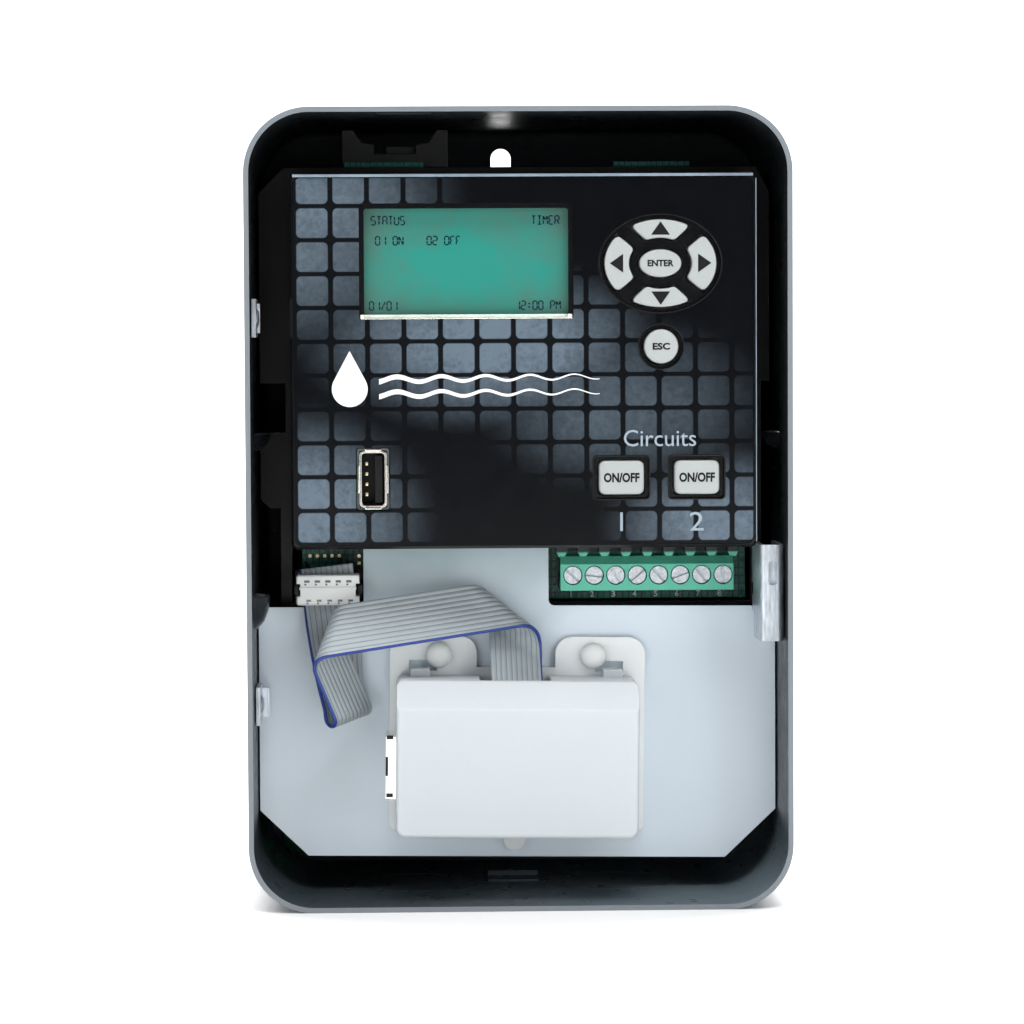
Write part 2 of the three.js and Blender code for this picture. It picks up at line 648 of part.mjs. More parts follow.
/** Twists a point about the ribbon's length by the share of the twist reached at its place along. */
function twistPoint(point, flat, { at, until, twist }) {
  const share = THREE.MathUtils.clamp((flat.x - at) / (until - at), 0, 1);
  return point.applyAxisAngle(new THREE.Vector3(1, 0, 0), share * twist * DEGREE);
}

/** Rolls a point round a cylinder that lies along the crease, as far as its place on the flat ribbon asks. */
function foldPoint(point, flat, { at, crease, radius, turn }) {
  const along = new THREE.Vector3(Math.cos(crease * DEGREE), Math.sin(crease * DEGREE), 0);
  if (along.y < 0) along.negate();
  const onward = new THREE.Vector3(along.y, -along.x, 0);
  const start = new THREE.Vector3(at, 0, 0);
  const past = flat.clone().sub(start).dot(onward);
  if (past <= 0) return point;
  const side = Math.sign(turn);
  const angle = Math.min(past / radius, Math.abs(turn) * DEGREE);
  point.sub(start).addScaledVector(onward, -angle * radius);
  point.z -= side * radius;
  point.applyAxisAngle(along, -side * angle);
  point.z += side * radius;
  return point.add(start);
}

/** Takes a point of the flat ribbon (along, across, out) to its place on the folded ribbon. */
function foldRibbon(along, across, out) {
  const flat = new THREE.Vector3(along, across, 0);
  const point = new THREE.Vector3(along, across, out);
  for (const step of RIBBON_TURNS.slice().reverse()) {
    if (step.twist) twistPoint(point, flat, step);
    else foldPoint(point, flat, step);
  }
  return point;
}

/** The ribbon runs down from the plug, so along is -Z, across is +X and out is the front. */
function placeRibbon(point) {
  const placed = new THREE.Vector3(point.y, -point.z, -point.x);
  placed.applyAxisAngle(new THREE.Vector3(0, 1, 0), -RIBBON.lean * DEGREE);
  return placed.add(new THREE.Vector3(RIBBON.startX, yAt(PLUG.slot), RIBBON.startZ));
}

function ribbonCable() {
  const strip = new THREE.BoxGeometry(RIBBON.length, RIBBON_WIDTH, RIBBON.thickness, RIBBON.steps, 4, 1);
  const position = strip.getAttribute("position");
  for (let i = 0; i < position.count; i += 1) {
    const along = position.getX(i) + RIBBON.length / 2;
    const place = placeRibbon(foldRibbon(along, position.getY(i), position.getZ(i)));
    position.setXYZ(i, place.x, place.y, place.z);
  }
  return strip;
}

/** The two ejector latches at the ends of the header, or the notches that clear them. */
function latchBlocks(clearance) {
  const [thickness, height] = HEADER.latch;
  const z = around(middle(PLUG.z), height + 2 * clearance);
  const depth = [PLUG.face + 1 - 3 * clearance, HEADER.depth[0] + 4];
  const [left, right] = HEADER.x;
  return [
    block([left - clearance, left + thickness + clearance], depth, z),
    block([right - thickness - clearance, right + clearance], depth, z),
  ];
}

function headerShroud() {
  const { x, z, depth, wall } = HEADER;
  const hollow = block(grown(x, -wall - 0.6), [depth[0] - 9, depth[1] - 2], grown(z, -wall));
  const notch = block(around(middle(x), 4.4), [depth[0] - 1, depth[0] + 6], [z[0] - 1, z[0] + wall + 1]);
  return cut(join(block(x, depth, z), ...latchBlocks(0)), hollow, notch);
}

function ribbonPlug() {
  const { x, z, face, slot, back, nose } = PLUG;
  const slotHalf = RIBBON.thickness / 2 + 0.5;
  const cap = plate(roundedRect(x, z, 0.6), [face, slot - slotHalf], 0.3);
  const body = block(grown(x, -0.3), [slot + slotHalf, back], z);
  const inserted = block(grown(x, -1.4), [back - 1, nose], grown(z, -1.3));
  const posts = [x[0] + 0.1, x[1] - 0.4].map((postX) =>
    block([postX, postX + 0.3], [slot - 2, slot + 4.05], grown(z, -0.2)),
  );
  return cut(join(cap, body, inserted, ...posts), ...latchBlocks(0.4));
}

// ---------------------------------------------------------------- barrier sheet and network module
/** Holes for the two push rivets of the module, through everything between the two depths. */
function rivetHoles(depth) {
  return [-1, 1].map((side) => rod(side * RIVET.x, RIVET.z, RIVET.hole, depth));
}

function barrierSheet() {
  const { depth, lowerCorners, top, tongueX, tongueTop, fillet, corner } = SHEET;
  const shape = polygon(lowerCorners);
  const left = lowerCorners.at(0)[0];
  const right = lowerCorners.at(-1)[0];
  shape.lineTo(right, top - 0.4);
  shape.absarc(tongueX[1] + fillet, top + fillet, fillet, 1.5 * Math.PI, Math.PI, true);
  shape.lineTo(tongueX[1], tongueTop);
  shape.lineTo(tongueX[0], tongueTop);
  shape.lineTo(tongueX[0], top);
  shape.absarc(left + corner, top - corner, corner, 0.5 * Math.PI, Math.PI, false);
  return cut(plate(shape, depth), ...rivetHoles(grown(depth, 1)).map(seated));
}

function networkBase() {
  const { x, z, depth, earTop, earInner, earCorner, tab } = BASE;
  const body = roundedRect(x, z, [1.5, 0.5]);
  const ears = [
    roundedRect([x[0], -earInner], [z[1] - 10, earTop], [0.5, earCorner]),
    roundedRect([earInner, x[1]], [z[1] - 10, earTop], [0.5, earCorner]),
  ];
  const roundTab = slotShape(0, tab.z, tab.width);
  const snapSlots = [-1, 1].map((side) =>
    block(around(side * SNAP.x, SNAP.slotWidth), grown(depth, 3), SNAP.slotZ),
  );
  const pieces = [body, ...ears, roundTab].map((shape) => plate(shape, depth));
  return cut(join(...pieces), ...snapSlots, ...rivetHoles(grown(depth, 3)));
}

/** The profile of the module cover from the side, moved inwards by a wall. */
function coverProfile(inset, back) {
  const { face, z, bevelZ, bevelDepth } = MODULE;
  return polygon([
    [yAt(face + inset), z[0] + inset],
    [yAt(back), z[0] + inset],
    [yAt(back), z[1] - inset],
    [yAt(bevelDepth + inset * 0.5), z[1] - inset],
    [yAt(face + inset), bevelZ - inset * 0.5],
  ]);
}

/** Extrudes a (Y, Z) profile from x0 to x1. */
function acrossX(shape, [x0, x1]) {
  const geometry = new THREE.ExtrudeGeometry(shape, { depth: x1 - x0, bevelEnabled: false });
  return geometry.rotateZ(Math.PI / 2).rotateY(Math.PI / 2).translate(x0, 0, 0);
}

function networkCover() {
  const { x, z, face, back, wall } = MODULE;
  const envelope = plate(roundedRect(x, z, [2.2, 1.6]), [face, back + 3], 1.1, 6, 3);
  const shell = common(acrossX(coverProfile(0, back), x), envelope);
  const hollow = acrossX(coverProfile(wall, back + 1), grown(x, -wall));
  const jackHole = block([x[0] - 1, x[0] + wall + 1], grown(JACK.depth, 0.3), grown(JACK.z, 0.3));
  const ribbonSlot = block(MODULE.ribbonSlot, [10.5, back + 1], around(z[1], 4.4));
  const hooks = [-1, 1].map((side) =>
    block(around(side * (SNAP.x + 0.7), SNAP.hookWidth), [SNAP.front, back], [z[1] - 1, SNAP.hookTop]),
  );
  return join(cut(shell, hollow, jackHole, ribbonSlot), ...hooks);
}

function rj45Jack() {
  const { x, z, depth, wall, reach, keyway } = JACK;
  const inside = [x[0] - 1, x[0] + reach];
  const mouth = block(inside, grown(depth, -wall - 0.5), grown(z, -wall - 0.8));
  const latchWay = block(inside, [depth[0] + wall, depth[0] + 3], around(middle(z), keyway));
  return cut(block(x, depth, z), mouth, latchWay);
}

function pushRivet(x) {
  const head = roundHead(x, RIVET.z, RIVET.radius, RIVET.head);
  return join(head, rod(x, RIVET.z, RIVET.shank, [RIVET.head[1] - 0.3, RIVET.end]));
}

// ---------------------------------------------------------------- power section
function transformerCore() {
  const { x, z, depth, windowX, windowWidth, yoke } = CORE;
  const windows = windowX.map((x0) => block([x0, x0 + windowWidth], grown(depth, 3), grown(z, -yoke)));
  return cut(block(x, depth, z), ...windows);
}

/** The winding: a block with a passage for the core's middle limb. */
function transformerCoil() {
  const { limb, wound, depth, end, passage } = COIL;
  const winding = block(grown(limb, wound), depth, grown(CORE.z, -CORE.yoke - end));
  const forCore = block(grown(limb, 0.3), [passage, depth[1] + 1], grown(CORE.z, -1));
  return cut(winding, forCore);
}

function buildPowerSection() {
  add("power_pcb", block(POWER_BOARD.x, POWER_BOARD.depth, POWER_BOARD.z), BOARD_GREEN);
  add("transformer_core", transformerCore(), STEEL_GREY);
  add("transformer_coil", transformerCoil(), COPPER);
  RELAY.x.forEach((x0, index) => {
    const outline = roundedRect([x0, x0 + RELAY.width], RELAY.z, RELAY.corner);
    add(`relay_${index + 1}`, plate(outline, RELAY.depth), RELAY_BLUE);
  });
  add("backup_capacitor", rod(CAPACITOR.x, CAPACITOR.z, CAPACITOR.radius, CAPACITOR.depth), BLACK_PLASTIC);
  add("board_link", block(BOARD_LINK.x, BOARD_LINK.depth, BOARD_LINK.z), BLACK_PLASTIC);
  addTerminals("line_terminal_block", "line_screw", LINE, BLACK_PLASTIC);
}

// ---------------------------------------------------------------- assembly
function buildCase() {
  add("case_shell", caseShell(), STEEL_GREY);
  add("hinge_lug_upper", hingeLug(LUG_UPPER), ZINC);
  add("hinge_lug_lower", hingeLug(LUG_LOWER), ZINC);
  add("latch_bracket", latchBracket(), ZINC);
  add("ground_screw", groundScrew(), GROUND_GREEN);
}

function buildPanel() {
  add("bezel", bezel(), BLACK_PLASTIC);
  add("overlay", overlay(), BLACK_GLOSS);
  add("lcd_glass", block(grown(LCD.x, 1.2), [LCD.glass, 9.1], grown(LCD.z, 1.2)), GLASS_TEAL);
  add("lcd_backlight", block(grown(LCD.x, 0.5), [9.4, 12.6], grown(LCD.z, 0.5)), GLASS_TEAL);
  add("lcd_frame", lcdFrame(), BLACK_PLASTIC);
  for (const [name, shape] of Object.entries(KEY_SHAPES)) add(name, keyCap(shape), KEY_GREY);
  add("keypad_mat", keypadMat(), BLACK_PLASTIC);
  add("display_pcb", block(DISPLAY_BOARD.x, DISPLAY_BOARD.depth, DISPLAY_BOARD.z), BOARD_GREEN);
  add("usb_shell", usbShell(), ZINC);
  add("usb_tongue", block([USB.x + 0.4, USB.x + 2.2], [6.6, 11.9], around(USB.z, 11)), BLACK_PLASTIC);
}

function buildBoards() {
  add("module_tray", moduleTray(), BLACK_PLASTIC);
  add("top_catch", topCatch(), BLACK_PLASTIC);
  add("logic_pcb", logicBoard(), BOARD_GREEN);
  addTerminals("terminal_block", "terminal_screw", TERMINAL, TERMINAL_GREEN);
  add("header_shroud", headerShroud(), BLACK_PLASTIC);
  add("ribbon_plug", ribbonPlug(), MODULE_WHITE);
  add("ribbon_cable", ribbonCable(), RIBBON_GREY);
}

function buildNetworkModule() {
  add("barrier_sheet", barrierSheet(), MILKY);
  add("network_base", seated(networkBase()), MODULE_WHITE);
  add("network_cover", seated(networkCover()), MODULE_WHITE);
  const board = block(NETWORK_BOARD.x, NETWORK_BOARD.depth, NETWORK_BOARD.z);
  add("network_pcb", seated(board), BOARD_GREEN);
  const plug = block(NETWORK_PLUG.x, NETWORK_PLUG.depth, NETWORK_PLUG.z);
  add("network_plug", seated(plug), MODULE_WHITE);
  add("rj45_jack", seated(rj45Jack()), GOLD);
  add("push_rivet_left", seated(pushRivet(-RIVET.x)), MODULE_WHITE);
  add("push_rivet_right", seated(pushRivet(RIVET.x)), MODULE_WHITE);
}

buildCase();
buildPanel();
buildBoards();
buildNetworkModule();
buildPowerSection();

export default object;
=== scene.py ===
"""Looks for an open two-circuit irrigation controller: finishes, print, small parts, camera and light.

Metres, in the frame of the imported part: the front faces -Y, +X is right, +Z is up.
Sizes below are in millimetres, and depths are measured back from the rim of the case.
"""

import math

import bmesh
import bpy
from mathutils import Matrix, Vector


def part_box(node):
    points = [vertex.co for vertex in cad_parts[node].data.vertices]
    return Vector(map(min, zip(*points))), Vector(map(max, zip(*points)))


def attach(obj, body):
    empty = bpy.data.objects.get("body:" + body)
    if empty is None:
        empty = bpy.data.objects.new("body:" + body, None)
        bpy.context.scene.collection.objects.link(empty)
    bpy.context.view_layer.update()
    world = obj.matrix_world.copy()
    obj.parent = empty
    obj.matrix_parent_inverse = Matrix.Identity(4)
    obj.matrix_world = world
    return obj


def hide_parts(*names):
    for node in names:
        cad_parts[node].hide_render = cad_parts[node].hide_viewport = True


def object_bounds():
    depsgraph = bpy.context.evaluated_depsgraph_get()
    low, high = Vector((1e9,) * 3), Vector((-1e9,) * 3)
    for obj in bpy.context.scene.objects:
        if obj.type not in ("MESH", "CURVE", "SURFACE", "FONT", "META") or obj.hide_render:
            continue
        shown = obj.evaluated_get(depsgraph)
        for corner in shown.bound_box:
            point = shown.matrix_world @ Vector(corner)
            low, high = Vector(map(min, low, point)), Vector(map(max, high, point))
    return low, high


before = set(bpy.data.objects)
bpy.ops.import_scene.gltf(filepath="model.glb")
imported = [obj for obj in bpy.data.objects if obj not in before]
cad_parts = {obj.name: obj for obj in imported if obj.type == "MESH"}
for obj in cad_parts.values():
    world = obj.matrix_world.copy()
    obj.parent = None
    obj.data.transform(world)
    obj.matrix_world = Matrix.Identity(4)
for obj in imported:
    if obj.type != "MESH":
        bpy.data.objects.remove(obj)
CAD_LOW, CAD_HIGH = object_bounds()

# ------------------------------------------------------------------ driving dimensions
MM = 0.001
HOUSING = "housing"

CAMERA_SPOT = (-24, -800, 36)  # x, distance in front of the rim, z
CAMERA_TURN = (1.586, 2.596, 0.3)  # yaw to the right, pitch down, roll
CAMERA_LENS = 123.45

RIBBON_PITCH = 1.27
RIBBON_WAYS = 10
RIBBON_THICKNESS = 0.9
RIBBON_WEB = 0.3
RIBBON_LENGTH = 130
RIBBON_START = (-45, 24.6, -13.9)  # x, depth, z
RIBBON_LEAN = 6.6
RIBBON_STEP = 0.5
# A fold has its place along the ribbon, the angle of its crease, its radius and its turn; a twist has its
# start, its end and its turn.
RIBBON_TURNS = (
    ("fold", 8.5, 90, 6, 10.6),
    ("twist", 10, 34, -47.2),
    ("fold", 34.4, 103.5, 2.2, 176),
    ("fold", 57.8, 59.3, 2.4, -137.1),
    ("fold", 101.3, -52, 3.4, -195.9),
)

MODULE_TILT = 0.8
MODULE_PIVOT = (0, -58)  # x, z
CASE_CORNER = 15

# The keys: the lip behind each cap, their corners, and the ring keys' inner edge and half angles (at the
# outer edge, at the inner edge).
KEY_LIP = 0.8
KEY_ROUND = 1.3
CIRCUIT_KEY_ROUND = 1.6
RING_INNER = (7.25, 5.85)
RING_UPRIGHT = (32, 26)
RING_SIDE = (40, 34)
RING_TURNS = {"key_right": 0, "key_up": 90, "key_left": 180, "key_down": 270}
ARROW = (1.6, 1.45, 2.15)  # from its middle to its tip, to its back and to each side
KEY_WORDS = {  # the word on a key, half its width and half its height
    "key_enter": ("ENTER", 3, 0.75),
    "key_escape": ("ESC", 2, 0.8),
    "key_circuit_1": ("ON/OFF", 4.1, 1.1),
    "key_circuit_2": ("ON/OFF", 4.1, 1.1),
}
PRINT = 0.03  # how far print stands out

# The drop is a point over a round bowl (x, point's z, bowl's z, bowl's radius); the waves run beside it.
DROP = (-38.7, 36.6, 27.9, 4.1)
WAVES = {"x": (-32, 19), "heights": (30.6, 27.2), "swing": 0.6, "bend": 0.62, "width": 1.2, "taper": 0.02}
CIRCUIT_WORD = ((24, 40.6), (14.4, 18.2))  # x, z
CIRCUIT_NUMBER_Z = (-5, -0.7)
CIRCUIT_NUMBER_HALF_WIDTH = {1: 0.3, 2: 1.6}

# Print on the overlay: a grid of tiles that fades in and out in patches, each with its middle x and z, its
# reach in x and z, and its strength.
TILE_PITCH = (8.34, 7.73)
TILE_SIZE = (7.15, 6.7)
TILE_ROUND = 1.1
TILE_START = (-50.65, 76.85)  # left edge and top edge of the first tile
TILE_PATCHES = (
    (-50, 68, 36, 32, 0.78),
    (-8, 38, 40, 19, 1.1),
    (24, 24, 32, 20, 0.5),
    (-48, -2, 27, 25, 1),
    (46, -4, 26, 18, 1),
)

TERMINAL_SLOTS = (-45, -6, -60, 40, -50, 20, -50, -88)  # the turn of each screw's slot, left to right
LINE_SLOTS = (-12, -75, -140, -35, -100, -160)

DISPLAY_TEXT = (  # text, left edge, middle height
    ("STATUS", -33.6, 66.4),
    ("TIMER", 3.2, 66.4),
    ("01 ON", -32.6, 61.8),
    ("02 OFF", -20.8, 61.8),
    ("01/01", -34.1, 46.9),
    ("12:00 PM", -0.6, 46.9),
)
LETTER = {"width": 0.95, "height": 1.9, "pitch": 1.34, "stroke": 0.29, "gap": 0.09}
# Each bar of a segment letter from one point of a 3 by 3 grid to another: column, row, column, row.
SEGMENTS = {
    "a": (0, 2, 2, 2), "b": (2, 2, 2, 1), "c": (2, 1, 2, 0), "d": (0, 0, 2, 0), "e": (0, 1, 0, 0),
    "f": (0, 2, 0, 1), "g": (0, 1, 1, 1), "h": (1, 1, 2, 1), "i": (0, 2, 1, 1), "j": (1, 2, 1, 1),
    "k": (2, 2, 1, 1), "l": (0, 0, 1, 1), "m": (1, 0, 1, 1), "n": (2, 0, 1, 1),
}
LETTERS = {
    "S": "afghcd", "T": "ajm", "A": "abcefgh", "U": "bcdef", "I": "adjm", "M": "bcefik", "E": "adefg",
    "R": "abefghn", "O": "abcdef", "N": "bcefin", "F": "aefg", "P": "abefgh", "0": "abcdef", "1": "bc",
    "2": "abdegh", "/": "kl", ":": "", " ": "",
}

# Parts on the logic board: x, z, width, height and thickness.
CHIPS = (
    (-45, 5, 9, 9, 1.2),
    (-44, 22, 7, 12, 1.4),
    (-40, 40, 12, 12, 1.2),
    (20, 30, 16, 16, 1.4),
    (35, 10, 4, 9, 1.2),
    (-15, 20, 4, 3, 1),
    (0, 44, 6, 4, 1),
    (44, 50, 7, 5, 2),
    (-49.8, -14.2, 1, 1.6, 0.6),
)
USB_CONTACT_PITCH = 2.35
PAD_RADIUS = 0.42
PAD_PITCH = 1.75

# Studio, in metres: the floor's front edge, where it bends up, the bend's radius, the wall's height, and
# half the width of both.
STUDIO = {"front": -4.0, "back": 1.0, "bend": 0.6, "top": 3.5, "half_width": 4}
SKY = ((0.9, 0.95, 1), 0.12)
LIGHTS = (  # name, place, target, size, watts
    ("top_front", (0, -0.62, 1.05), (0, -0.02, 0), (1.0, 0.5), 8),
    ("front_left", (-0.75, -1.0, 0.35), (0, 0, 0), (0.5, 0.8), 3),
    ("front_right", (0.75, -1.0, 0.35), (0, 0, 0), (0.5, 0.8), 4.2),
    ("overhead_strip", (0.1, -0.07, 0.9), (0, -0.05, 0), (1.2, 0.25), 6),
    ("wall_wash", (0, 0.5, 1.8), (0, 1.6, 0.2), (3.0, 0.6), 90),
)


# ------------------------------------------------------------------ places
def place(x, depth, z):
    """A point given in millimetres, its depth behind the rim."""
    return Vector((x * MM, CAD_LOW.y + depth * MM, z * MM))


def centre(node):
    low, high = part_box(node)
    return (low + high) / 2


# ------------------------------------------------------------------ material nodes
class Nodes:
    """Short calls that add nodes to one material."""

    def __init__(self, name):
        self.material = bpy.data.materials.new(name)
        self.material.use_nodes = True
        self.tree = self.material.node_tree
        self.surface = self.tree.nodes["Principled BSDF"]
        self.where = self.add("ShaderNodeTexCoord").outputs["Object"]

    def add(self, kind, **settings):
        node = self.tree.nodes.new(kind)
        for key, value in settings.items():
            setattr(node, key, value)
        return node

    def link(self, value, socket):
        if isinstance(value, bpy.types.NodeSocket):
            self.tree.links.new(value, socket)
        elif isinstance(value, tuple) and len(value) == 3 and socket.type == "RGBA":
            socket.default_value = (*value, 1)
        else:
            socket.default_value = value

    def math(self, operation, a, b=0.0, c=0.0):
        node = self.add("ShaderNodeMath", operation=operation)
        for value, socket in zip((a, b, c), node.inputs):
            self.link(value, socket)
        return node.outputs[0]

    def noise(self, size_mm, detail=3.0, stretch=(1, 1, 1), roughness=0.55):
        """Noise whose features are about size_mm across, from 0 to 1."""
        mapping = self.add("ShaderNodeMapping")
        self.link(self.where, mapping.inputs["Vector"])
        mapping.inputs["Scale"].default_value = [1 / (size_mm * MM * s) for s in stretch]
        node = self.add("ShaderNodeTexNoise")
        self.link(mapping.outputs[0], node.inputs["Vector"])
        node.inputs["Scale"].default_value = 1
        node.inputs["Detail"].default_value = detail
        node.inputs["Roughness"].default_value = roughness
        return node.outputs["Fac"]

    def span(self, value, low, high, start=0.3, end=0.7, shape="LINEAR"):
        """Maps value from start..end to low..high, held at the ends."""
        node = self.add("ShaderNodeMapRange", interpolation_type=shape)
        self.link(value, node.inputs["Value"])
        for key, number in (("From Min", start), ("From Max", end), ("To Min", low), ("To Max", high)):
            self.link(number, node.inputs[key])
        return node.outputs[0]

    def axes(self):
        """The place on the object in mm: across, depth behind the rim and height."""
        node = self.add("ShaderNodeSeparateXYZ")
        self.link(self.where, node.inputs[0])
        x, y, z = (self.math("DIVIDE", output, MM) for output in node.outputs)
        return x, self.math("SUBTRACT", y, CAD_LOW.y / MM), z

    def length(self, a, b):
        return self.math("SQRT", self.math("ADD", self.math("MULTIPLY", a, a), self.math("MULTIPLY", b, b)))

    def rounded_box(self, a, b, half_a, half_b, corner):
        """The distance from the edge of a rounded rectangle about the origin: negative inside."""
        out_a = self.math("SUBTRACT", self.math("ABSOLUTE", a), half_a - corner)
        out_b = self.math("SUBTRACT", self.math("ABSOLUTE", b), half_b - corner)
        inside = self.math("MINIMUM", self.math("MAXIMUM", out_a, out_b), 0.0)
        outside = self.length(self.math("MAXIMUM", out_a, 0.0), self.math("MAXIMUM", out_b, 0.0))
        return self.math("SUBTRACT", self.math("ADD", outside, inside), corner)

    def mix(self, share, first, second, blend="MIX"):
        node = self.add("ShaderNodeMix", data_type="RGBA", blend_type=blend)
        self.link(share, node.inputs["Factor"])
        self.link(first, node.inputs[6])
        self.link(second, node.inputs[7])
        return node.outputs[2]

    def set(self, **inputs):
        for key, value in inputs.items():
            self.link(value, self.surface.inputs[key.replace("_", " ")])

    def bump(self, height, depth_mm, strength=1.0):
        node = self.add("ShaderNodeBump")
        self.link(height, node.inputs["Height"])
        node.inputs["Distance"].default_value = depth_mm * MM
        node.inputs["Strength"].default_value = strength
        self.link(node.outputs[0], self.surface.inputs["Normal"])


def finish(name, colour, spread=0.12, roughness=(0.35, 0.5), metallic=0.0, grain=(0.4, 0.02), patch=9.0,
           stretch=(1, 1, 1), coat=0.0, subsurface=0.0, specular=0.5):
    """A material with colour patches, uneven roughness and a fine surface grain of (size, height) in mm."""
    nodes = Nodes(name)
    patches = nodes.noise(patch, 4, stretch)
    dark = tuple(c * (1 - spread) for c in colour)
    light = tuple(min(1, c * (1 + spread)) for c in colour)
    nodes.set(
        Base_Color=nodes.mix(nodes.span(patches, 0, 1), dark, light),
        Roughness=nodes.span(nodes.noise(patch * 0.4, 5, stretch), *roughness),
        Metallic=metallic,
        Coat_Weight=coat,
        Coat_Roughness=0.08,
        Specular_IOR_Level=specular,
    )
    if subsurface:
        nodes.set(Subsurface_Weight=subsurface, Subsurface_Scale=2 * MM)
        nodes.surface.inputs["Subsurface Radius"].default_value = (1, 1, 1)
    nodes.bump(nodes.noise(grain[0], 3, stretch), grain[1])
    return nodes.material


def case_paint():
    """Baked enamel: pale on the rim and outside, dark and glossy inside, with painted light on the lower
    inside wall, lighter towards the bottom and to the right.
    """
    nodes = Nodes("case_paint")
    x, depth, z = nodes.axes()
    half_width = CAD_HIGH.x / MM
    half_height = CAD_HIGH.z / MM
    wall = nodes.rounded_box(x, z, half_width, half_height, CASE_CORNER)
    outside = nodes.span(wall, 0, 1, -0.65, -0.55)
    behind = nodes.math("ADD", depth, CAD_LOW.y / MM)
    back = nodes.span(behind, 0, 1, -0.65, -0.55)
    bend = nodes.span(nodes.math("ADD", wall, behind), 0, 1, -3.3, -3.15)
    rim = nodes.span(depth, 1, 0, 0.05, 0.25)
    pale = nodes.math("MAXIMUM", nodes.math("MAXIMUM", outside, back), nodes.math("MAXIMUM", rim, bend))
    patches = nodes.span(nodes.noise(14, 4), 0, 1)
    # Painted light: the lower inside wall turns from dark to a lighter blue-grey towards the bottom and the
    # right, as if lit from above.
    lower = nodes.span(z, 1, 0, -half_height + 4, -half_height + 22)
    dark = nodes.mix(patches, (0.014, 0.017, 0.02), (0.02, 0.024, 0.028))
    painted_light_slate = nodes.mix(nodes.span(x, 0, 1, -30, 60), (0.035, 0.046, 0.054), (0.13, 0.165, 0.19))
    dark = nodes.mix(lower, dark, painted_light_slate)
    light = nodes.mix(patches, (0.18, 0.202, 0.222), (0.19, 0.213, 0.233))
    dust = nodes.span(nodes.noise(0.8, 2), 0, 0.25, 0.74, 0.8)
    nodes.set(
        Base_Color=nodes.mix(dust, nodes.mix(pale, dark, light), (0.3, 0.33, 0.35)),
        Roughness=nodes.math("MULTIPLY_ADD", pale, 0.15, nodes.span(nodes.noise(6, 4), 0.26, 0.36)),
        Specular_IOR_Level=nodes.math("MULTIPLY_ADD", pale, 0.4, 0.1),
    )
    nodes.bump(nodes.noise(0.9, 3), 0.005)
    return nodes.material


def overlay_film():
    """Black gloss film with a printed grid of grey-blue tiles that fades in and out."""
    nodes = Nodes("overlay_film")
    x, _, z = nodes.axes()
    edges = []
    for value, start, pitch in ((x, TILE_START[0], TILE_PITCH[0]), (z, TILE_START[1], TILE_PITCH[1])):
        middle = start + (TILE_SIZE[0] / 2 if value is x else -TILE_SIZE[1] / 2)
        turns = nodes.math("DIVIDE", nodes.math("SUBTRACT", value, middle), pitch)
        nearest = nodes.math("ROUND", turns)
        edges.append(nodes.math("MULTIPLY", nodes.math("SUBTRACT", turns, nearest), pitch))
    tile = nodes.rounded_box(*edges, TILE_SIZE[0] / 2, TILE_SIZE[1] / 2, TILE_ROUND)
    inside = nodes.span(tile, 1, 0, -0.12, 0.12)
    light = 0.0
    for patch_x, patch_z, reach_x, reach_z, strength in TILE_PATCHES:
        across = nodes.math("DIVIDE", nodes.math("SUBTRACT", x, patch_x), reach_x)
        up = nodes.math("DIVIDE", nodes.math("SUBTRACT", z, patch_z), reach_z)
        patch = nodes.span(nodes.length(across, up), strength, 0, 0.1, 1.15, "SMOOTHSTEP")
        light = nodes.math("MAXIMUM", light, patch)
    mottle = nodes.span(nodes.noise(1.8, 7, roughness=0.7), 0.65, 1.25)
    waves = nodes.span(nodes.noise(22, 2), 0.75, 1.2, 0.25, 0.75)
    printed = nodes.math("MULTIPLY", nodes.math("MULTIPLY", light, mottle), waves)
    film = nodes.mix(nodes.math("MULTIPLY", light, waves), (0.0025, 0.003, 0.004), (0.005, 0.006, 0.0075))
    shade = nodes.mix(printed, (0.0025, 0.003, 0.004), (0.115, 0.152, 0.19))
    nodes.set(
        Base_Color=nodes.mix(inside, film, shade),
        Roughness=nodes.span(nodes.noise(5, 5), 0.13, 0.19),
        Specular_IOR_Level=0.2,
    )
    nodes.bump(nodes.noise(0.35, 2), 0.004)
    return nodes.material


def display_glass():
    """A reflective liquid crystal display: teal in the middle, greyer towards the edges."""
    nodes = Nodes("display_glass")
    x, _, z = nodes.axes()
    low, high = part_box("lcd_glass")
    mid = (low + high) / 2 / MM
    half = (high - low) / 2 / MM
    across = nodes.math("DIVIDE", nodes.math("SUBTRACT", x, mid.x), half.x)
    up = nodes.math("DIVIDE", nodes.math("SUBTRACT", z, mid.z), half.z)
    away = nodes.length(across, up)
    cloud = nodes.math("ADD", away, nodes.span(nodes.noise(7, 4), -0.3, 0.3))
    teal = nodes.mix(nodes.span(cloud, 0, 1, 0.4, 1.25), (0.026, 0.235, 0.19), (0.07, 0.165, 0.135))
    nodes.set(Base_Color=teal, Roughness=nodes.span(nodes.noise(3, 4), 0.16, 0.24), Specular_IOR_Level=0.3)
    nodes.bump(nodes.noise(0.5, 2), 0.003)
    return nodes.material


def terminal_plastic():
    """Green moulding, with painted shade: nearly black where its top runs back under the panel."""
    nodes = Nodes("terminal_green")
    _, _, z = nodes.axes()
    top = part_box("terminal_block")[1].z / MM
    # Painted shade: the moulding turns nearly black in its top 3 mm, where it runs back under the panel.
    under = nodes.span(z, 0, 1, top - 3.1, top - 2.7)
    mottle = nodes.mix(nodes.noise(5, 3), (0.1, 0.5, 0.35), (0.12, 0.56, 0.4))
    nodes.set(
        Base_Color=nodes.mix(under, mottle, (0.002, 0.012, 0.01)),
        Roughness=nodes.span(nodes.noise(3, 4), 0.35, 0.5),
    )
    nodes.bump(nodes.noise(0.3, 3), 0.01)
    return nodes.material


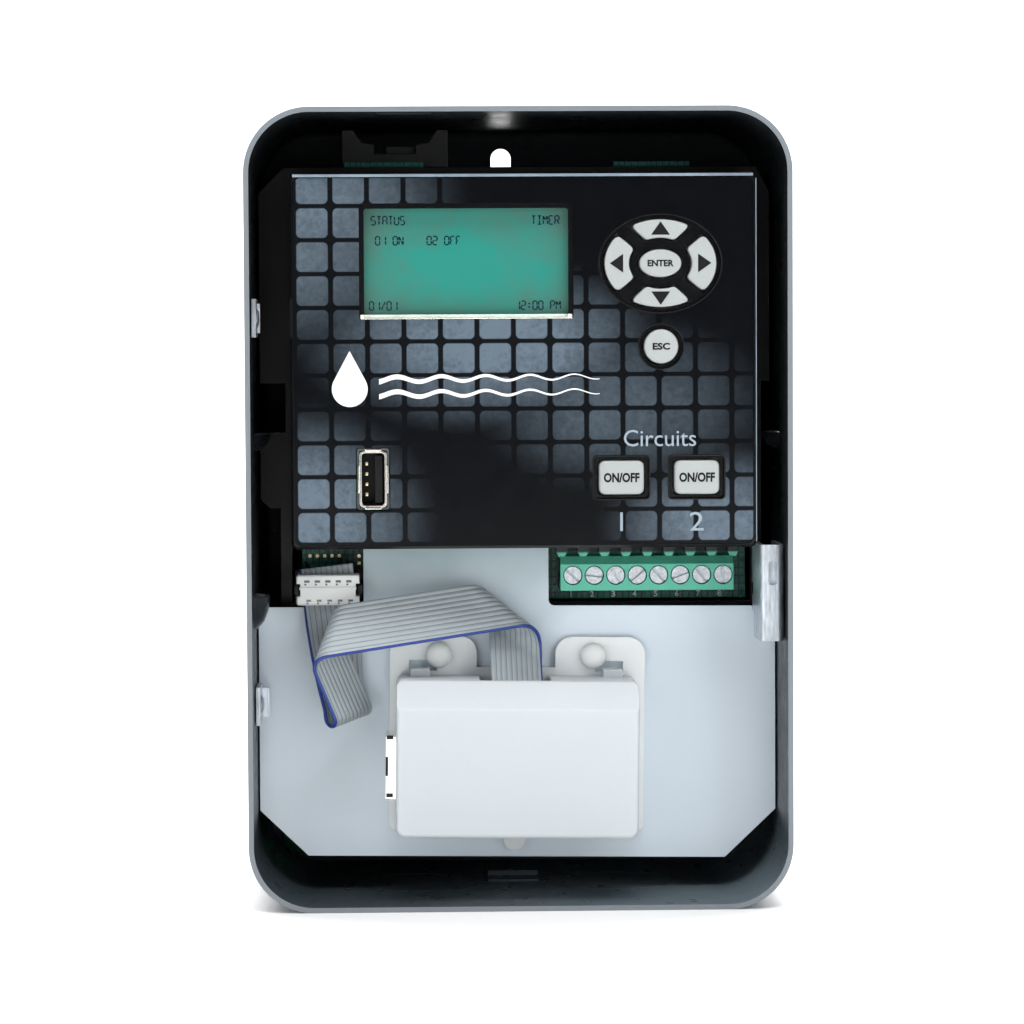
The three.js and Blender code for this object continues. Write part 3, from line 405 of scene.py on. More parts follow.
def milky_sheet():
    """Translucent sheet: pale, with painted shadow that turns it darker and greener towards the panel's
    lower edge.
    """
    nodes = Nodes("milky_sheet")
    _, _, z = nodes.axes()
    cloud = nodes.mix(nodes.span(nodes.noise(60, 1), 0, 1), (0.67, 0.765, 0.845), (0.7, 0.79, 0.865))
    # Painted shadow of the panel: the sheet darkens and turns greener upwards towards the panel's lower
    # edge, with a ragged noise edge.
    under = nodes.span(nodes.math("ADD", z, nodes.span(nodes.noise(20, 2), -3, 3)), 0, 1, -26, -9)
    nodes.set(
        Base_Color=nodes.mix(under, cloud, (0.3, 0.4, 0.42)),
        Roughness=nodes.span(nodes.noise(12, 2), 0.27, 0.31, 0.1, 0.9),
        Coat_Weight=0.15,
        Coat_Roughness=0.12,
    )
    nodes.bump(nodes.noise(1.5, 3), 0.01)
    return nodes.material


def board_mask():
    """Green solder mask with darker tracks under it."""
    nodes = Nodes("circuit_board")
    x, _, z = nodes.axes()
    drift = nodes.math("MULTIPLY", nodes.math("ROUND", nodes.math("MULTIPLY", nodes.noise(9, 1), 6)), 0.9)
    stepped = nodes.math("MULTIPLY", nodes.math("ADD", x, drift), 2.1)
    line_up = nodes.math("ABSOLUTE", nodes.math("SINE", stepped))
    line_across = nodes.math("ABSOLUTE", nodes.math("SINE", nodes.math("MULTIPLY", z, 1.7)))
    track_up = nodes.span(line_up, 0, 1, 0.9, 0.95)
    track = nodes.math("MAXIMUM", track_up, nodes.span(line_across, 0, 1, 0.96, 0.99))
    nodes.set(
        Base_Color=nodes.mix(track, (0.006, 0.17, 0.125), (0.003, 0.06, 0.045)),
        Roughness=nodes.span(nodes.noise(3, 4), 0.22, 0.38),
    )
    nodes.bump(track, 0.03)
    return nodes.material


# ------------------------------------------------------------------ outlines, seen from the front as (x, z)
def rect(x, z):
    return [(x[0], z[0]), (x[1], z[0]), (x[1], z[1]), (x[0], z[1])]


def box_rect(x, z, width, height):
    return rect((x - width / 2, x + width / 2), (z - height / 2, z + height / 2))


def arc(x, z, a, b, start, end, steps):
    turns = (math.radians(start + (end - start) * i / steps) for i in range(steps + 1))
    return [(x + a * math.cos(t), z + b * math.sin(t)) for t in turns]


def oval(x, z, a, b, steps=64):
    return arc(x, z, a, b, 0, 360, steps)[:-1]


def rounded(outline, radius, steps=6):
    """The outline with every sharp corner rounded."""
    points = []
    for i, corner in enumerate(outline):
        here = Vector(corner)
        before = Vector(outline[i - 1]) - here
        after = Vector(outline[(i + 1) % len(outline)]) - here
        turn = math.pi - before.angle(after)
        if turn < math.radians(30):
            points.append(here)
            continue
        reach = radius * math.tan(turn / 2)
        start = here + before.normalized() * min(reach, before.length * 0.95)
        end = here + after.normalized() * min(reach, after.length * 0.95)
        for j in range(steps + 1):
            share = j / steps
            points.append(start.lerp(here, share).lerp(here.lerp(end, share), share))
    return points


# ------------------------------------------------------------------ mesh helpers
def solids(name, *shapes):
    """A mesh of closed prisms, each an outline, a front and a back depth, and perhaps a hole's outline."""
    bm = bmesh.new()
    for outline, front, back, *holes in shapes:
        loops = [outline, *holes]
        near = [[bm.verts.new(place(x, front, z)) for x, z in loop] for loop in loops]
        far = [[bm.verts.new(place(x, back, z)) for x, z in loop] for loop in loops]
        for near_loop, far_loop in zip(near, far):
            for i in range(len(near_loop)):
                bm.faces.new((near_loop[i - 1], near_loop[i], far_loop[i], far_loop[i - 1]))
        for ends in (near, far):
            if not holes:
                bm.faces.new(ends[0])
                continue
            for i in range(len(outline)):
                bm.faces.new((ends[0][i - 1], ends[0][i], ends[1][i], ends[1][i - 1]))
    bmesh.ops.recalc_face_normals(bm, faces=bm.faces)
    mesh = bpy.data.meshes.new(name)
    bm.to_mesh(mesh)
    bm.free()
    return mesh


def tilted(mesh):
    """Turns a mesh of the network module to the angle at which the module sits."""
    x, z = MODULE_PIVOT
    pivot = Matrix.Translation(place(x, 0, z))
    mesh.transform(pivot @ Matrix.Rotation(math.radians(MODULE_TILT), 4, "Y") @ pivot.inverted())
    return mesh


def lettering(text, x, z, front, weight=0.0):
    """Raised letters that fill the space from x[0] to x[1] and z[0] to z[1]."""
    curve = bpy.data.curves.new(text, "FONT")
    curve.body = text
    curve.extrude = 0.5
    curve.offset = weight
    curve.resolution_u = 3
    source = bpy.data.objects.new(text, curve)
    mesh = bpy.data.meshes.new_from_object(source)
    bpy.data.objects.remove(source)
    across = [v.co.x for v in mesh.vertices]
    up = [v.co.y for v in mesh.vertices]
    scale_x = (x[1] - x[0]) / (max(across) - min(across))
    scale_z = (z[1] - z[0]) / (max(up) - min(up))
    for v in mesh.vertices:
        depth = front if v.co.z > 0 else front + 2 * PRINT
        v.co = place(x[0] + (v.co.x - min(across)) * scale_x, depth, z[0] + (v.co.y - min(up)) * scale_z)
    return mesh


def piece(name, mesh, material, body=HOUSING):
    obj = bpy.data.objects.new(name, mesh)
    bpy.context.scene.collection.objects.link(obj)
    mesh.materials.append(material)
    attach(obj, body)
    return obj


def smooth_nodes():
    """A node group that shades faces smooth and keeps edges sharper than 35 degrees sharp."""
    group = bpy.data.node_groups.new("smooth_by_angle", "GeometryNodeTree")
    group.interface.new_socket("Geometry", in_out="INPUT", socket_type="NodeSocketGeometry")
    group.interface.new_socket("Geometry", in_out="OUTPUT", socket_type="NodeSocketGeometry")
    entry = group.nodes.new("NodeGroupInput")
    leave = group.nodes.new("NodeGroupOutput")
    normals = group.nodes.new("GeometryNodeRemoveAttribute")
    normals.inputs["Name"].default_value = "custom_normal"
    faces = group.nodes.new("GeometryNodeSetShadeSmooth")
    faces.domain = "FACE"
    edges = group.nodes.new("GeometryNodeSetShadeSmooth")
    edges.domain = "EDGE"
    edges.inputs["Shade Smooth"].default_value = False
    angle = group.nodes.new("GeometryNodeInputMeshEdgeAngle")
    compare = group.nodes.new("FunctionNodeCompare")
    compare.operation = "GREATER_THAN"
    compare.inputs[1].default_value = math.radians(35)
    group.links.new(entry.outputs[0], normals.inputs["Geometry"])
    group.links.new(normals.outputs[0], faces.inputs["Geometry"])
    group.links.new(faces.outputs[0], edges.inputs["Geometry"])
    group.links.new(angle.outputs["Unsigned Angle"], compare.inputs[0])
    group.links.new(compare.outputs[0], edges.inputs["Selection"])
    group.links.new(edges.outputs[0], leave.inputs[0])
    return group


SMOOTH = smooth_nodes()


def soften(obj, width=0.15, segments=2):
    """Joins split corners, rounds sharp edges by width in mm and shades smooth across shallow edges."""
    weld = obj.modifiers.new("weld", "WELD")
    weld.merge_threshold = 0.002 * MM
    if width:
        flat = obj.modifiers.new("flat", "DECIMATE")
        flat.decimate_type = "DISSOLVE"
        flat.angle_limit = math.radians(0.5)
        bevel = obj.modifiers.new("bevel", "BEVEL")
        bevel.width = width * MM
        bevel.segments = segments
        bevel.limit_method = "ANGLE"
        bevel.angle_limit = math.radians(40)
        bevel.use_clamp_overlap = True
        bevel.loop_slide = False
    shading = obj.modifiers.new("shading", "NODES")
    shading.node_group = SMOOTH
    weighted = obj.modifiers.new("weighted", "WEIGHTED_NORMAL")
    weighted.keep_sharp = True
    return obj


def carry(material, *nodes, width=0.15, segments=2):
    """Gives CAD nodes a finish and rounded edges."""
    for name in nodes:
        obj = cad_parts[name]
        for slot in obj.material_slots:
            slot.link = "OBJECT"
            slot.material = material
        soften(obj, width, segments)


# ------------------------------------------------------------------ ribbon cable
def twist(point, along, start, end, turn):
    share = min(max((along - start) / (end - start), 0), 1)
    return Matrix.Rotation(math.radians(share * turn), 3, "X") @ point


def fold(point, along, across, at, crease, radius, turn):
    """Rolls a point round a cylinder that lies along the crease."""
    axis = Vector((math.cos(math.radians(crease)), math.sin(math.radians(crease)), 0))
    if axis.y < 0:
        axis.negate()
    onward = Vector((axis.y, -axis.x, 0))
    start = Vector((at, 0, 0))
    past = (Vector((along, across, 0)) - start).dot(onward)
    if past <= 0:
        return point
    side = math.copysign(1, turn)
    angle = min(past / radius, math.radians(abs(turn)))
    point = point - start - onward * angle * radius - Vector((0, 0, side * radius))
    point = Matrix.Rotation(-side * angle, 3, axis) @ point
    return point + Vector((0, 0, side * radius)) + start


def ribbon_point(along, across, out):
    """Takes a point of the flat ribbon, in mm, to its place on the folded ribbon."""
    point = Vector((along, across, out))
    for kind, *sizes in reversed(RIBBON_TURNS):
        if kind == "twist":
            point = twist(point, along, *sizes)
        else:
            point = fold(point, along, across, *sizes)
    placed = Vector((point.y, -point.z, -point.x))
    placed.rotate(Matrix.Rotation(math.radians(-RIBBON_LEAN), 3, "Y"))
    return place(*RIBBON_START) + placed * MM


def ribbon_section():
    """The ribbon's outline, round wires joined by thin webs, as (across, out, number of the wire)."""
    width = RIBBON_PITCH * RIBBON_WAYS
    steps = 6
    upper = []
    for wire in range(RIBBON_WAYS):
        middle = (wire + 0.5) * RIBBON_PITCH - width / 2
        for i in range(steps):
            turn = (i + 0.5) / steps * 2 - 1
            height = RIBBON_WEB / 2 + (RIBBON_THICKNESS - RIBBON_WEB) / 2 * math.sqrt(1 - turn**2)
            upper.append((middle + turn * RIBBON_PITCH / 2, height, wire))
    left = (-width / 2, 0, 0)
    right = (width / 2, 0, RIBBON_WAYS - 1)
    lower = [(across, -height, wire) for across, height, wire in reversed(upper)]
    return [left, *upper, right, *lower]


def ribbon_cable(grey, blue, groove_shade):
    section = ribbon_section()
    rows = round(RIBBON_LENGTH / RIBBON_STEP)
    mesh = bpy.data.meshes.new("ribbon_wires")
    bm = bmesh.new()
    rings = []
    for row in range(rows + 1):
        along = row * RIBBON_LENGTH / rows
        rings.append([bm.verts.new(ribbon_point(along, across, out)) for across, out, _ in section])
    count = len(section)
    for first, second in zip(rings, rings[1:]):
        for i in range(count):
            j = (i + 1) % count
            face = bm.faces.new((first[i], first[j], second[j], second[i]))
            # Painted shade: faces in the valleys between two wires take the darker valley material.
            in_shaded_groove = section[i][2] != section[j][2]
            marked = max(section[i][0], section[j][0]) < RIBBON_PITCH * (0.45 - RIBBON_WAYS / 2)
            face.material_index = 1 if marked else 2 if in_shaded_groove else 0
            face.smooth = True
    bm.faces.new(rings[0][::-1])
    bm.faces.new(rings[-1])
    bmesh.ops.recalc_face_normals(bm, faces=bm.faces)
    bm.to_mesh(mesh)
    bm.free()
    obj = piece("ribbon_wires", mesh, grey)
    mesh.materials.append(blue)
    mesh.materials.append(groove_shade)
    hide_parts("ribbon_cable")
    route = [ribbon_point(along, 0, 0) for along in range(0, RIBBON_LENGTH + 1, 2)]
    return obj


# ------------------------------------------------------------------ keys and print
def key_outline(name):
    """The outline of a key cap, from the place of its node."""
    low, high = (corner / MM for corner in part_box(name))
    mid = (low + high) / 2
    half = (high - low) / 2 - Vector((KEY_LIP, 0, KEY_LIP))
    if name in ("key_enter", "key_escape"):
        return oval(mid.x, mid.z, half.x, half.z)
    if name.startswith("key_circuit"):
        return rounded(box_rect(mid.x, mid.z, 2 * half.x, 2 * half.z), CIRCUIT_KEY_ROUND)
    hub = centre("key_enter") / MM
    outer_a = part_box("key_right")[1].x / MM - KEY_LIP - hub.x
    outer_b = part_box("key_up")[1].z / MM - KEY_LIP - hub.z
    turn = RING_TURNS[name]
    outer_half, inner_half = RING_UPRIGHT if turn % 180 else RING_SIDE
    outer = arc(hub.x, hub.z, outer_a, outer_b, turn - outer_half, turn + outer_half, 12)
    inner = arc(hub.x, hub.z, *RING_INNER, turn + inner_half, turn - inner_half, 8)
    return rounded(outer + inner, KEY_ROUND)


def keys(cap, ink):
    """Moulded caps with soft edges, and an arrow or a word on each."""
    for name in (*RING_TURNS, *KEY_WORDS):
        low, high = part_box(name)
        front = (low.y - CAD_LOW.y) / MM
        back = (high.y - CAD_LOW.y) / MM
        obj = piece(f"{name}_cap", solids(name, (key_outline(name), front, back)), cap, name)
        soften(obj, 0.75 if name.startswith("key_circuit") else 0.5, 4)
        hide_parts(name)
        if name in KEY_WORDS:
            word, half_width, half_height = KEY_WORDS[name]
            mid = centre(name) / MM
            x = (mid.x - half_width, mid.x + half_width)
            z = (mid.z - half_height, mid.z + half_height)
            mark = lettering(word, x, z, front - PRINT, 0.04)
        else:
            mark = solids(f"{name}_mark", (arrow_outline(name), front - PRINT, front + PRINT))
        piece(f"{name}_print", mark, ink, name)


def arrow_outline(name):
    """A triangle in the middle of a ring key, pointing away from the ring's centre."""
    turn = math.radians(RING_TURNS[name])
    hub = centre("key_enter") / MM
    reach_a = (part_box("key_right")[1].x / MM - KEY_LIP - hub.x + RING_INNER[0]) / 2
    reach_b = (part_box("key_up")[1].z / MM - KEY_LIP - hub.z + RING_INNER[1]) / 2
    out = Vector((math.cos(turn), math.sin(turn)))
    side = Vector((-out.y, out.x))
    middle = Vector((hub.x + reach_a * out.x, hub.z + reach_b * out.y))
    tip, back, half_width = ARROW
    foot = middle - out * back
    return [middle + out * tip, foot + side * half_width, foot - side * half_width]


def overlay_print(white, grey):
    """A water drop over two waves, and the names of the two circuits."""
    front = (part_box("overlay")[0].y - CAD_LOW.y) / MM - PRINT
    back = front + 2 * PRINT
    x, point, bowl, radius = DROP
    drop = [(x, point), *arc(x, bowl, radius, radius, 152, 388, 28)]
    shapes = [(drop[::-1], front, back)]
    start, end = WAVES["x"]
    for height in WAVES["heights"]:
        steps = range(2 * start, 2 * end)
        top = [(i / 2, height + WAVES["swing"] * math.sin(i / 2 * WAVES["bend"])) for i in steps]
        bottom = [(x, z - WAVES["width"] + WAVES["taper"] * (x - start)) for x, z in reversed(top)]
        shapes.append((top + bottom, front, back))
    piece("drop_mark", solids("drop_mark", *shapes), white)
    piece("circuit_word", lettering("Circuits", *CIRCUIT_WORD, front), grey)
    for number, key in ((1, "key_circuit_1"), (2, "key_circuit_2")):
        x = centre(key).x / MM
        half_width = CIRCUIT_NUMBER_HALF_WIDTH[number]
        mesh = lettering(str(number), (x - half_width, x + half_width), CIRCUIT_NUMBER_Z, front)
        piece(f"circuit_number_{number}", mesh, grey)


def pocket_rims(black):
    """Raised glossy edges round the pockets of the keys."""
    front = (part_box("overlay")[0].y - CAD_LOW.y) / MM - 0.15
    hub = centre("key_enter") / MM
    escape = centre("key_escape") / MM
    shapes = [
        (oval(hub.x, hub.z, 14.25, 11.45), front, front + 0.6, oval(hub.x, hub.z, 13.95, 11.15)),
        (oval(escape.x, escape.z, 5.35, 5.35), front, front + 0.6, oval(escape.x, escape.z, 5.1, 5.1)),
    ]
    for name in ("key_circuit_1", "key_circuit_2"):
        mid = centre(name) / MM
        outer = rounded(box_rect(mid.x, mid.z, 13.3, 10.3), 1.2)
        inner = rounded(box_rect(mid.x, mid.z, 12.7, 9.7), 0.9)
        shapes.append((outer, front, front + 0.6, inner))
    soften(piece("pocket_rims", solids("pocket_rims", *shapes), black), 0.08)


# ------------------------------------------------------------------ screws and small metal
def screws(steel):
    """Flat slotted heads in the terminal blocks."""
    for kind, slots in (("terminal_screw", TERMINAL_SLOTS), ("line_screw", LINE_SLOTS)):
        for number, slot_turn in enumerate(slots, 1):
            name = f"{kind}_{number}"
            low, high = (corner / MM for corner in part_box(name))
            mid = (low + high) / 2
            radius = (high.x - low.x) / 2 + 0.15
            front = low.y - CAD_LOW.y / MM
            back = high.y - CAD_LOW.y / MM
            shapes = [(oval(mid.x, mid.z, radius, radius, 40), front + 0.7, back)]
            half_slot = math.degrees(math.asin(0.3 / radius))
            for side in (0, 180):
                start = side + slot_turn + half_slot
                half = arc(mid.x, mid.z, radius, radius, start, start + 180 - 2 * half_slot, 20)
                shapes.append((half, front, front + 0.8))
            obj = soften(piece(f"{name}_head", solids(name, *shapes), steel, name), 0.12)
            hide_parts(name)


def bezel_edge(bright):
    """A lighter blue-grey strip along the top and right edges of the panel: a painted highlight on the
    gloss black bevel.
    """
    low, high = (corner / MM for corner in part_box("bezel"))
    front = low.y - CAD_LOW.y / MM
    shapes = [
        (rect((low.x + 0.8, high.x - 0.8), (high.z - 0.7, high.z - 0.05)), front - 0.12, front + 0.5),
        (rect((high.x - 0.25, high.x - 0.03), (low.z + 1.2, high.z - 1.2)), front - 0.05, front + 0.8),
    ]
    soften(piece("bezel_edge", solids("bezel_edge", *shapes), bright), 0.1)


def latch_tongue(steel):
    """The plate that closes the back of the latch's slot."""
    low, high = (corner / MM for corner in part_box("latch_bracket"))
    mid_x = (low.x + high.x) / 2 + 0.2
    mesh = solids("latch_tongue", (rect((mid_x - 1.6, mid_x + 1.6), (-18.6, -11.4)), 7.3, 8.1))
    soften(piece("latch_tongue", mesh, steel), 0.15)


# ------------------------------------------------------------------ display and socket
def display_text(ink):
    """Thin segment letters just in front of the display's glass."""
    front = (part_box("lcd_glass")[0].y - CAD_LOW.y) / MM - PRINT
    back = front + PRINT / 2
    width, height, pitch, stroke, gap = LETTER.values()
    shapes = []
    for text, left, middle in DISPLAY_TEXT:
        for place_in_text, letter in enumerate(text):
            origin = Vector((left + place_in_text * pitch, middle - height / 2))
            for bar in LETTERS[letter]:
                column, row, to_column, to_row = SEGMENTS[bar]
                start = origin + Vector((column * width / 2, row * height / 2))
                end = origin + Vector((to_column * width / 2, to_row * height / 2))
                along = (end - start).normalized()
                side = Vector((-along.y, along.x)) * stroke / 2
                start += along * gap
                end -= along * gap
                shapes.append(([start - side, end - side, end + side, start + side], front, back))
            if letter == ":":
                for up in (0.3, 0.7):
                    dot = box_rect(origin.x + width / 2, origin.y + up * height, stroke * 1.3, stroke * 1.3)
                    shapes.append((dot, front, back))
    piece("display_text", solids("display_text", *shapes), ink)


def window_sill(bright):
    """The lower bevel of the display's window in bright metal: a painted highlight of the light from above
    on a black bevel.
    """
    low, high = (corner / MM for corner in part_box("lcd_glass"))
    inset = 1.2
    x = (low.x + inset - 0.9, high.x - inset + 0.9)
    top = low.z + inset
    mesh = solids("window_sill", (rect(x, (top - 1.05, top - 0.05)), 4.3, 5.75))
    for v in mesh.vertices:
        if v.co.z > (top - 0.5) * MM and v.co.y < place(0, 5, 0).y:
            v.co.y = place(0, 5.55, 0).y
    soften(piece("window_sill", mesh, bright), 0.08)


def usb_socket(bright, black, gold):
    """The flared mouth, black inner walls of painted shade inside the shell, and the four contacts of the
    socket.
    """
    low, high = (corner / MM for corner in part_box("usb_shell"))
    mid = (low + high) / 2
    width, height = high.x - low.x, high.z - low.z
    front = low.y - CAD_LOW.y / MM
    outer = rounded(box_rect(mid.x, mid.z, width - 1, height - 1), 1.4)
    inner = rounded(box_rect(mid.x, mid.z, width - 2.1, height - 2.1), 1)
    flares = []
    for side in (-1, 1):
        lip = box_rect(mid.x, mid.z + side * (height / 2 - 0.35), 3.8, 0.7)
        wing = box_rect(mid.x + side * (width / 2 - 0.35), mid.z, 0.6, 6.4)
        flares += [(lip, front - 0.7, front - 0.05), (wing, front - 0.7, front - 0.05)]
    mouth = solids("usb_mouth", (outer, front - 0.55, front - 0.03, inner), *flares)
    soften(piece("usb_mouth", mouth, bright), 0.15)
    # Painted shade: black inner walls just inside the shell.
    shade_lining_out = box_rect(mid.x, mid.z, width - 1.1, height - 1.1)
    shade_lining_in = box_rect(mid.x, mid.z, width - 1.9, height - 2.2)
    shade_lining = solids("usb_painted_shade_lining", (shade_lining_out, front + 0.3, high.y - CAD_LOW.y / MM - 0.9, shade_lining_in))
    piece("usb_painted_shade_lining", shade_lining, black)
    back = (box_rect(mid.x, mid.z, width - 2.1, height - 2.4), 12.05, 12.3)
    piece("usb_floor", solids("usb_floor", back), black)
    heights = [mid.z + i * USB_CONTACT_PITCH for i in (-1.5, -0.5, 0.5, 1.5)]
    contacts = [(box_rect(mid.x - 1.5, z, 0.6, 0.8), 6.9, 7.6) for z in heights]
    soften(piece("usb_contacts", solids("usb_contacts", *contacts), gold), 0.1)


# ------------------------------------------------------------------ boards, plug and jack
def board_details(gold, black, white):
    """Pads, small parts and numbers on the logic board."""
    low, high = (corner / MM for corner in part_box("logic_pcb"))
    face = low.y - CAD_LOW.y / MM
    spots = [(low.x + 1.9 + PAD_PITCH * i, -12.2) for i in range(5)]
    spots += [(-37.4, -12.3), (-37.4, -14)]
    pads = [(oval(x, z, PAD_RADIUS, PAD_RADIUS, 16), face - 0.05, face + 0.05) for x, z in spots]
    piece("board_pads", solids("board_pads", *pads), gold)
    chips = [(box_rect(x, z, width, height), face - thick, face) for x, z, width, height, thick in CHIPS]
    soften(piece("board_parts", solids("board_parts", *chips), black), 0.2)
    block_low, block_high = (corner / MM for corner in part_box("terminal_block"))
    for number in range(1, 9):
        x = centre(f"terminal_screw_{number}").x / MM
        z = block_low.z - 1.55
        width = 0.1 if number == 1 else 0.45
        mesh = lettering(str(number), (x - width, x + width), (z - 0.75, z + 0.75), face - PRINT, 0.03)
        piece(f"terminal_number_{number}", mesh, white)


def plug_details(steel, nylon):
    """The contact windows, the clamp line and the ends of the ribbon's plug."""
    low, high = (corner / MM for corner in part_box("ribbon_plug"))
    front = low.y - CAD_LOW.y / MM
    mid = (low + high) / 2
    marks = []
    for column in range(5):
        x = mid.x + (column - 2) * 2.45
        marks.append((box_rect(x, high.z - 1.5, 1.25, 0.55), front - PRINT, front + PRINT))
        marks.append((box_rect(x - 0.35, high.z - 2.2, 0.5, 0.45), front - PRINT, front + PRINT))
        marks.append((box_rect(x + 0.4, low.z + 1.1, 1.1, 0.5), front - PRINT, front + PRINT))
        marks.append((box_rect(x + 0.1, low.z + 0.5, 0.45, 0.4), front - PRINT, front + PRINT))
    piece("plug_windows", solids("plug_windows", *marks), steel)
    bars = [
        (rect((low.x + 0.7, high.x - 0.7), (mid.z + 0.1, mid.z + 0.7)), front - 0.35, front + 0.1),
        (rect((low.x + 1.1, high.x - 1.1), (low.z + 0.02, low.z + 0.16)), front - 0.2, front + 0.1),
    ]
    soften(piece("plug_ridge", solids("plug_ridge", *bars), nylon), 0.1)


def jack_details(black, gold):
    """The dark ends and the eight spring contacts of the network socket."""
    low, high = (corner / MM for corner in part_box("rj45_jack"))
    front = low.y - CAD_LOW.y / MM
    mid = (low + high) / 2
    near, far = front - 0.1, front + 0.2
    ends = [(box_rect(low.x + 1.1, mid.z + side * 6.7, 1.5, 0.9), near, far) for side in (-1, 1)]
    ends.append((rect((low.x + 0.15, low.x + 0.7), (mid.z - 2.2, mid.z + 2.2)), near, far))
    comb = (rect((low.x + 2, low.x + 11.5), (mid.z - 5.3, mid.z + 5.3)), front + 9.6, front + 11.6)
    piece("jack_ends", tilted(solids("jack_ends", *ends, comb)), black)
    wires = []
    for contact in range(8):
        z = mid.z + (contact - 3.5) * 1.02
        wires.append((rect((low.x + 1.5, low.x + 8), (z - 0.15, z + 0.15)), front + 9.2, front + 9.5))
    mesh = solids("jack_contacts", *wires)
    for v in mesh.vertices:
        if v.co.x > (low.x + 5) * MM:
            v.co.y -= 4 * MM
    piece("jack_contacts", tilted(mesh), gold)


# ------------------------------------------------------------------ camera, light and floor
def camera():
    yaw, pitch, roll = (math.radians(a) for a in CAMERA_TURN)
    data = bpy.data.cameras.new("camera")
    data.lens = CAMERA_LENS
    data.sensor_width = 36
    data.clip_start = 0.01
    obj = bpy.data.objects.new("camera", data)
    obj.location = place(*CAMERA_SPOT)
    look = Matrix.Rotation(-yaw, 4, "Z") @ Matrix.Rotation(math.pi / 2 - pitch, 4, "X")
    obj.rotation_euler = (look @ Matrix.Rotation(-roll, 4, "Z")).to_euler()
    bpy.context.scene.collection.objects.link(obj)
    bpy.context.scene.camera = obj


def area_light(name, spot, target, size, power):
    data = bpy.data.lights.new(name, "AREA")
    data.shape = "RECTANGLE"
    data.size, data.size_y = size
    data.energy = power
    obj = bpy.data.objects.new(name, data)
    obj.location = spot
    obj.rotation_euler = (Vector(target) - Vector(spot)).to_track_quat("-Z", "Y").to_euler()
    bpy.context.scene.collection.objects.link(obj)


def studio():
    """A pale floor that curves up into a pale wall, and soft lights above and in front."""
    nodes = Nodes("studio_white")
    nodes.set(Base_Color=nodes.mix(nodes.noise(80), (0.9, 0.9, 0.9), (0.93, 0.93, 0.93)), Roughness=0.9)
    back, bend, half_width = STUDIO["back"], STUDIO["bend"], STUDIO["half_width"]
    turns = [math.radians(9 * i) for i in range(11)]
    profile = [(STUDIO["front"], 0.0)]
    profile += [(back + bend * math.sin(a), bend - bend * math.cos(a)) for a in turns]
    profile.append((back + bend, STUDIO["top"]))
    bm = bmesh.new()
    rows = [[bm.verts.new((x, y, CAD_LOW.z + z)) for y, z in profile] for x in (-half_width, half_width)]
    for i in range(len(profile) - 1):
        face = bm.faces.new((rows[0][i], rows[1][i], rows[1][i + 1], rows[0][i + 1]))
        face.smooth = True
    mesh = bpy.data.meshes.new("studio")
    bm.to_mesh(mesh)
    bm.free()
    obj = bpy.data.objects.new("studio", mesh)
    mesh.materials.append(nodes.material)
    bpy.context.scene.collection.objects.link(obj)

    colour, strength = SKY
    world = bpy.data.worlds.new("studio")
    world.use_nodes = True
    world.node_tree.nodes["Background"].inputs["Color"].default_value = (*colour, 1)
    world.node_tree.nodes["Background"].inputs["Strength"].default_value = strength
    bpy.context.scene.world = world
    bpy.context.scene.view_settings.view_transform = "Standard"

    for light in LIGHTS:
        area_light(*light)


